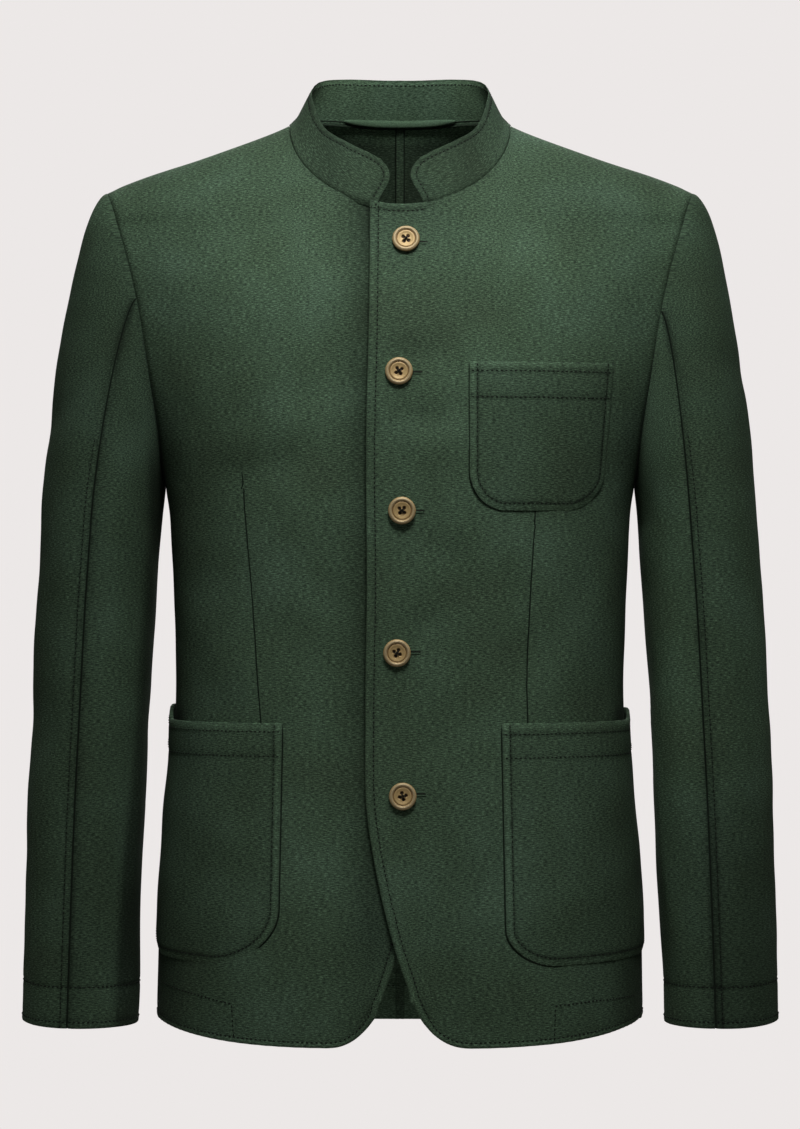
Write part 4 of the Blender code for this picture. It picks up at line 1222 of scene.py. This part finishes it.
def roundedOutline(width, height, radius):
    # a grid from the bottom edge up, whose lower corners are arcs, met at their middles
    across = (1 - np.cos(np.linspace(0, np.pi, pocket["steps"] + 1))[None, :]) / 2
    up = 1 - np.cos(np.linspace(0, np.pi / 2, pocket["steps"] + 1))[:, None]
    up = 0.6 * up + 0.4 * np.linspace(0, 1, pocket["steps"] + 1)[:, None]
    corner = radius * (1 - np.sqrt(0.5))

    def arc(run):
        return radius - np.sqrt(radius**2 - np.clip(radius - run, 0, radius) ** 2)

    along = corner + across * (width - 2 * corner)
    bottom = arc(np.minimum(along, width - along))
    side = arc(corner + up * (height - corner))
    return side + across * (width - 2 * side), bottom + up * (height - bottom)


def makePocket(patch, angles, z, standOff):
    normals = wrapNormal(angles, z)
    form = wrapPoint(angles, z) + (pocket["lift"] + cloth["wall"] + standOff)[..., None] * normals
    name, mirror = patch["name"], patch["mirror"]
    outline, facing = (np.concatenate([g[::-1, 0], g[0, 1:], g[1:, -1]]) for g in (form, normals))
    toEdge, toMouth, toBottom = (
        distanceTo(form, line, cloth["edgeSpacing"]) for line in (outline, form[-1], form[0])
    )
    sewnIn = toEdge + edge["stitchIn"] - pocket["stitchIn"]
    inside = ease(toEdge / 0.030)
    relief = 0.6 * lipRelief(sewnIn) - 0.0010 * bell(toEdge, 0, 0.0035) - 0.0008 * bell(toBottom, 0, 0.0040)
    relief += inside * (0.0006 + ripple(form, patch["seed"], 0.07, 0.0005))
    relief += 0.0004 * (1 - ease((toMouth - patch["rows"][1]) / 0.002)) * ease(toEdge / 0.004)
    relief -= edge["round"] * bell(toMouth, 0, edge["roundWidth"])
    # painted shade all over, at the very edge, along the stitches and towards the side; painted light just
    # inside the edge, along the bottom and below the mouth
    paintedShade = pocket["shade"] + stitchShadow(sewnIn, 0.6) + 0.15 * bell(toEdge, 0, 0.0010)
    paintedShade -= 0.42 * bell(toEdge, 0.0026, 0.0022) + 0.5 * bell(toBottom, 0, 0.0022)
    paintedShade -= 0.36 * bell(toMouth, 0.0026, 0.0024)
    for distance in patch["rows"]:
        relief -= edge["press"] * bell(toMouth, distance, 0.0020)
        paintedShade += patch["rowShade"] * bell(toMouth, distance, 0.0014)
    points = form + relief[..., None] * normals
    paintedShade += sideShade * ease((points[..., 0] - 0.11) / 0.08)
    inner = form - cloth["wall"] * normals
    bulge = makeBorder(points, edge["round"], edge["round"], edge["round"], edge["round"])
    outer, inner = onSide(points, mirror), onSide(inner, mirror)
    piece = makeShell(name, outer, onSide(normals, mirror), bulge, mirror, paintedShade, inner)
    v = arcLengths(points[::-1])[1]
    rows = points.shape[0] - 1
    columns = np.arange(2, points.shape[1] - 2)
    paths = [layOn(insetPath(outline, facing, pocket["stitchIn"]), points, normals)]
    paths += [gridPath(points, normals, rows - rowAt(v, d)[columns], columns) for d in patch["rows"]]
    sewn = sewOn(name, paths, mirror, pocket["stitchRadius"])
    # the cleft under the pocket's edge, drawn as a dark cord of painted shadow, sinks out of sight along the
    # bottom
    inward = unit(np.cross(facing, unit(np.gradient(outline, axis=0))))
    along = np.clip((np.arange(len(outline)) - rows) / (len(outline) - 2 * rows), 0, 1)
    sunk = ease(along / 0.45) * (1 - (1 - patch["sinkRear"]) * ease((along - 0.85) / 0.15))
    foot = outline - (cloth["wall"] + 0.0010 * sunk)[:, None] * facing - 0.0007 * inward
    return piece, [sewn, seamLine(name, [(foot, facing)], mirror, patch["line"])]


x, up = roundedOutline(chestPocket["width"], chestPocket["height"], chestPocket["radius"])
z = chestPocket["bottom"] + up
x = chestPocket["x"] + x * (1 - chestPocket["taper"] * (1 - up / chestPocket["height"]))
pockets = {"pocket_chest": makePocket(chestPocket, angleAt(x, z, True), z, 0 * z)}
for low in lowPockets:
    across, up = roundedOutline(pocket["width"], pocket["height"], low["radius"])
    share = across / pocket["width"]
    mouth = np.clip(1 - (pocket["height"] - up) / gape["depth"], 0, 1) ** 2
    rise = pocket["rearRise"] * share * (1 - mouth)
    rise = rise + (pocket["rearRise"] + low["kick"]) * mouth * ease((share - 0.78) / 0.16)
    z = pocket["bottom"] + up + rise
    standOff = gape["height"] * mouth * bell(share, gape["place"], gape["spread"])
    start = angleAt(low["lowX"] + (low["highX"] - low["lowX"]) * up / pocket["height"], z, True)
    pockets[low["name"]] = makePocket(low, start + share * (pocket["rearAngle"] - start), z, standOff)
print("pockets made")

# inside the back neck: a hanger loop and a strip over the centre-back seam
loop = dict(
    halfLength=0.046, halfHeight=0.0030, halfThickness=0.0014, z=0.0124, wall=0.0020, standOff=0.0024, steps=61,
)
x = np.linspace(-loop["halfLength"], loop["halfLength"], loop["steps"])
inset = loop["wall"] + cloth["lift"] + loop["standOff"] + loop["halfThickness"]
y = collarBase(np.arcsin(x / body["neckHalf"]))[:, 1] - inset
loopHalf = loop["halfHeight"] * np.sqrt(np.clip(1 - (x / loop["halfLength"]) ** 4, 0.03, 1))
loopPath = np.stack([x, y, 0 * x + loop["z"]], axis=-1)
loopTube = tubeAlong(loopPath, np.tile((0, -1.0, 0), (len(x), 1)), loopHalf, loop["halfThickness"], 14)
# the hanger loop in the lighter wool, painted light
loopPiece = joinParts("hanger_loop_cloth", [loopTube], litWool)
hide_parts("hanger_loop")
tape = dict(halfWidth=0.0034, thickness=0.0010, columns=9, shade=0.3, seamRow=110, seamRadius=0.0005)
spine = backPoints[:-1, 0] - (cloth["wall"] + cloth["lift"]) * backNormals[:-1, 0]
tapePoints = np.repeat(spine[:, None], tape["columns"], axis=1)
tapePoints[..., 0] = np.linspace(tape["halfWidth"], -tape["halfWidth"], tape["columns"])
tapeNormals = np.repeat(backNormals[:-1, :1], tape["columns"], axis=1)
bulge = makeBorder(tapePoints, 0.0002, 0.0003, 0.0002, 0.0003)
# its face towards the inside of the jacket in painted shade
tapePiece = makeShell(
    "back_seam_tape", tapePoints, tapeNormals, bulge, insideShade=tape["shade"], wall=tape["thickness"]
)
tapeFace = (tapePoints - tape["thickness"] * tapeNormals)[tape["seamRow"] :]
tapeFacing = -tapeNormals[tape["seamRow"] :]
# dark cords of painted shadow along the tape's edges
tapeSeam = seamLine("tape", [(tapeFace[:, i], tapeFacing[:, i]) for i in (0, -1)], radius=tape["seamRadius"])
print("inside of the neck made")

# buttons: a turned profile with four thread holes, and two crossed strands of thread
button = dict(
    lift=0.0005, rings=46, segments=96, holeRadius=0.0013, holeOffset=0.0026, holeDepth=0.0014, faceEnd=0.36,
    strand=0.00030, strandApart=0.00045, strandHeight=0.0022, strandDip=0.0010, slitStart=0.004,
)
buttons = (
    dict(name="button_1", x=0.0046, z=-0.0960, turn=8, holeEnd=0.0217, holeDrop=0.0017),
    dict(name="button_2", x=-0.0008, z=-0.1990, turn=-12, holeEnd=0.0177, holeDrop=0.0004),
    dict(name="button_3", x=0.0015, z=-0.3060, turn=4, holeEnd=0.0190, holeDrop=0.0003),
    dict(name="button_4", x=-0.0023, z=-0.4157, turn=20, holeEnd=0.0162, holeDrop=-0.0007),
    dict(name="button_5", x=0.0021, z=-0.5261, turn=-30, holeEnd=0.0200, holeDrop=-0.0017),
)
buttonProfile = (
    dict(run=0.00, radius=0.0000, height=0.0022),
    dict(run=0.28, radius=0.0044, height=0.0022),
    dict(run=0.40, radius=0.0065, height=0.0026),
    dict(run=0.46, radius=0.0072, height=0.0023),
    dict(run=0.52, radius=0.0077, height=0.0030),
    dict(run=0.62, radius=0.0088, height=0.0036),
    dict(run=0.70, radius=0.0098, height=0.0032),
    dict(run=0.78, radius=0.0106, height=0.0021),
    dict(run=0.86, radius=0.0101, height=0.0007),
    dict(run=0.92, radius=0.0084, height=0.0000),
    dict(run=1.00, radius=0.0000, height=0.0000),
)
buttonWear = (  # how pale the brass is rubbed, from the middle of the face to the back
    dict(run=0.00, wear=0.50),
    dict(run=0.40, wear=0.50),
    dict(run=0.45, wear=0.12),
    dict(run=0.48, wear=0.20),
    dict(run=0.55, wear=0.90),
    dict(run=0.68, wear=0.95),
    dict(run=0.78, wear=0.25),
    dict(run=1.00, wear=0.15),
)


def turnedButton():
    # points by (radius, angle) in the button's own frame; the holes are pits sunk in its face
    run = np.linspace(0, 1, button["rings"])
    radius = np.maximum(tableCurve(buttonProfile, "run", "radius", run), 0)
    height = tableCurve(buttonProfile, "run", "height", run)
    turn = np.linspace(0, 2 * np.pi, button["segments"], endpoint=False)
    x = radius[:, None] * np.cos(turn)
    y = radius[:, None] * np.sin(turn)
    spots = np.radians(45 + 90 * np.arange(4))
    centres = button["holeOffset"] * np.stack([np.cos(spots), np.sin(spots)], axis=-1)
    hole = np.min([np.hypot(x - a, y - b) for a, b in centres], axis=0)
    pit = 1 - ease((hole - button["holeRadius"] + 0.0003) / 0.0005)
    face = (run < button["faceEnd"])[:, None]
    z = height[:, None] - button["holeDepth"] * pit * face
    wear = np.interp(run, *([row[key] for row in buttonWear] for key in ("run", "wear")))[:, None]
    wear = np.where(face, wear * (1 - pit), wear) + 0 * x
    index = np.arange(x.size).reshape(x.shape)
    after = np.roll(index, -1, axis=1)
    quads = np.stack([index[:-1], index[1:], after[1:], after[:-1]], axis=-1).reshape(-1, 4)
    return np.stack([x, y, z], axis=-1).reshape(-1, 3), quads, wear.ravel()


def frontFrame(x, z):
    # point on the over front, with axes to the right, up and outward
    spot = np.array([x]), np.array([z])
    angle = angleAt(*spot, True)
    outward = wrapNormal(angle, spot[1])[0]
    right = unit(np.cross((0, 0, 1), outward))
    return bodyPoint(angle, spot[1], True)[0], np.stack([right, np.cross(outward, right), outward])


buttonPoints, buttonQuads, wear = turnedButton()
t = np.linspace(-1.15, 1.15, 19)  # along a strand, from past one hole to past the opposite one
for row in buttons:
    place, axes = frontFrame(row["x"], row["z"])
    tilt = np.radians(row["turn"])
    spin = np.array([[np.cos(tilt), np.sin(tilt), 0], [-np.sin(tilt), np.cos(tilt), 0], [0, 0, 1]]) @ axes
    seat = place + button["lift"] * axes[2]
    mesh = makeMesh(row["name"], seat + buttonPoints @ spin, buttonQuads)
    setValues(mesh, "wear", wear)
    piece = addPiece(row["name"] + "_brass", mesh, brass)
    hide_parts(row["name"])
    strands = []
    for angle, rise in ((45, 0.0005), (135, 0.0010)):
        along = np.array([np.cos(np.radians(angle)), np.sin(np.radians(angle))])
        beside = np.array([-along[1], along[0]])
        dip = button["strandDip"] * np.clip(np.abs(t) - 0.75, 0, 1) / 0.4
        lift = button["strandHeight"] + rise * (1 - t**2) - dip
        for side in (-button["strandApart"], button["strandApart"]):
            flatPath = button["holeOffset"] * t[:, None] * along + side * beside
            local = np.concatenate([flatPath, lift[:, None]], axis=1)
            strands.append(tubeAlong(seat + local @ spin, np.tile(axes[2], (len(t), 1)), button["strand"]))
    joinParts("thread_" + row["name"], strands, darkThread)
print("buttons made")

# buttonholes: a dark cord in the slit, painted shadow, between two corded lips, out past each button; sizes are
# half-widths and heights
buttonhole = dict(slit=(0.0005, 0.0004), lip=(0.0008, 0.0005), lipOffset=0.0012, lift=0.0001)
slitShadows = []
lips = []
for row in buttons:
    height = row["z"] - row["holeDrop"]
    path = frontPath([(row["x"] + button["slitStart"], height), (row["holeEnd"], height)], 0.0005)
    path, facing = layOn(path, leftSurface, frontNormals)
    path = path + buttonhole["lift"] * facing
    side = np.cross(facing, unit(np.gradient(path, axis=0)))
    slitShadows.append(tubeAlong(path, facing, *buttonhole["slit"]))
    for step in (-buttonhole["lipOffset"], buttonhole["lipOffset"]):
        lips.append(tubeAlong(path + step * side, facing, *buttonhole["lip"]))
slitPiece = joinParts("buttonhole_slit_shadows", slitShadows, darkThread)
lipPiece = joinParts("buttonhole_lips", lips, woolCloth)
# studio: a pale room, a soft key light high in front, weak broad ones above and in front, one behind
pale = "ECE8E7"
world = bpy.data.worlds.new("studio")
bpy.context.scene.world = world
world.use_nodes = True
tree = world.node_tree
shown = addNode(tree, "ShaderNodeBackground", Color=hexColor(pale), Strength=1.0)
ambient = addNode(tree, "ShaderNodeBackground", Color=hexColor(pale), Strength=0.085)
seen = addNode(tree, "ShaderNodeLightPath")
mixed = addNode(tree, "ShaderNodeMixShader",
                [("Fac", seen, "Is Camera Ray"), (1, ambient, "Background"), (2, shown, "Background")])
addNode(tree, tree.nodes["World Output"], [("Surface", mixed, "Shader")])
lights = (
    dict(
        name="key", kind="SPOT", place=(0.11, -1.0, 0.9), aim=(0.01, -0.05, -0.20), size=0.25, power=80,
        cone=60, narrow=0.5,
    ),
    dict(name="top", kind="AREA", place=(0.0, -0.35, 1.3), aim=(0, -0.05, -0.3), size=1.0, power=10),
    dict(name="front", kind="AREA", place=(0.0, -3.2, -0.35), aim=(0, 0, -0.35), size=1.0, power=1.5),
    dict(name="back", kind="AREA", place=(0.0, 2.4, 1.2), aim=(0, 0, -0.30), size=1.8, power=40),
)
for row in lights:
    lamp = bpy.data.lights.new(row["name"], row["kind"])
    lamp.energy = row["power"]
    if row["kind"] == "AREA":
        lamp.size = row["size"]
    else:
        lamp.shadow_soft_size = row["size"]
        lamp.spot_size = np.radians(row["cone"])
        lamp.spot_blend = 1.0
    light = bpy.data.objects.new(row["name"], lamp)
    light.scale = (row.get("narrow", 1.0), 1.0, 1.0)
    way = np.array(row["place"]) - row["aim"]
    light.location = row["place"]
    light.rotation_euler = (np.arctan2(np.hypot(way[0], way[1]), way[2]), 0, np.arctan2(way[0], -way[1]))
    bpy.context.scene.collection.objects.link(light)

# floor: well below, as pale as the room to the camera, and fading out with distance
floorMaterial, tree, shader = newMaterial("pale_floor")
seen = addNode(tree, "ShaderNodeLightPath")
glow = addNode(tree, "ShaderNodeMapRange", [("Value", seen, "Is Camera Ray")], To_Max=0.66)
place = addNode(tree, "ShaderNodeTexCoord")
reach = addNode(tree, "ShaderNodeVectorMath", [(0, place, "Object")], operation="LENGTH")
fade = addNode(tree, "ShaderNodeMapRange", [("Value", reach, "Value")],
               From_Min=1.35, From_Max=2.5, To_Min=1.0, To_Max=0.0)
addNode(tree, shader, [("Emission Strength", glow, "Result"), ("Alpha", fade, "Result")],
        Base_Color=hexColor("D8D4D2"), Roughness=0.9, Specular_IOR_Level=0.0, Emission_Color=hexColor(pale))
floorSize, floorZ = 2.4, -1.2
corners = np.array([(-1, -1, 0), (1, -1, 0), (1, 1, 0), (-1, 1, 0)]) * floorSize + (0, 0, floorZ)
floorMesh = makeMesh("floor", corners, np.array([[0, 1, 2, 3]]))
floorMesh.materials.append(floorMaterial)
floor = bpy.data.objects.new("floor", floorMesh)
bpy.context.scene.collection.objects.link(floor)

# camera level with the middle of the jacket, straight in front
lens = bpy.data.cameras.new("camera")
lens.sensor_fit = "VERTICAL"
lens.sensor_height = 36
lens.lens = 119.57
lens.clip_end = 50
camera = bpy.data.objects.new("camera", lens)
camera.location = (0, -3.0, -0.3476)
camera.rotation_euler = (np.pi / 2, 0, 0)
bpy.context.scene.collection.objects.link(camera)
bpy.context.scene.camera = camera
bpy.context.scene.view_settings.view_transform = "Standard"

print("scene ready")
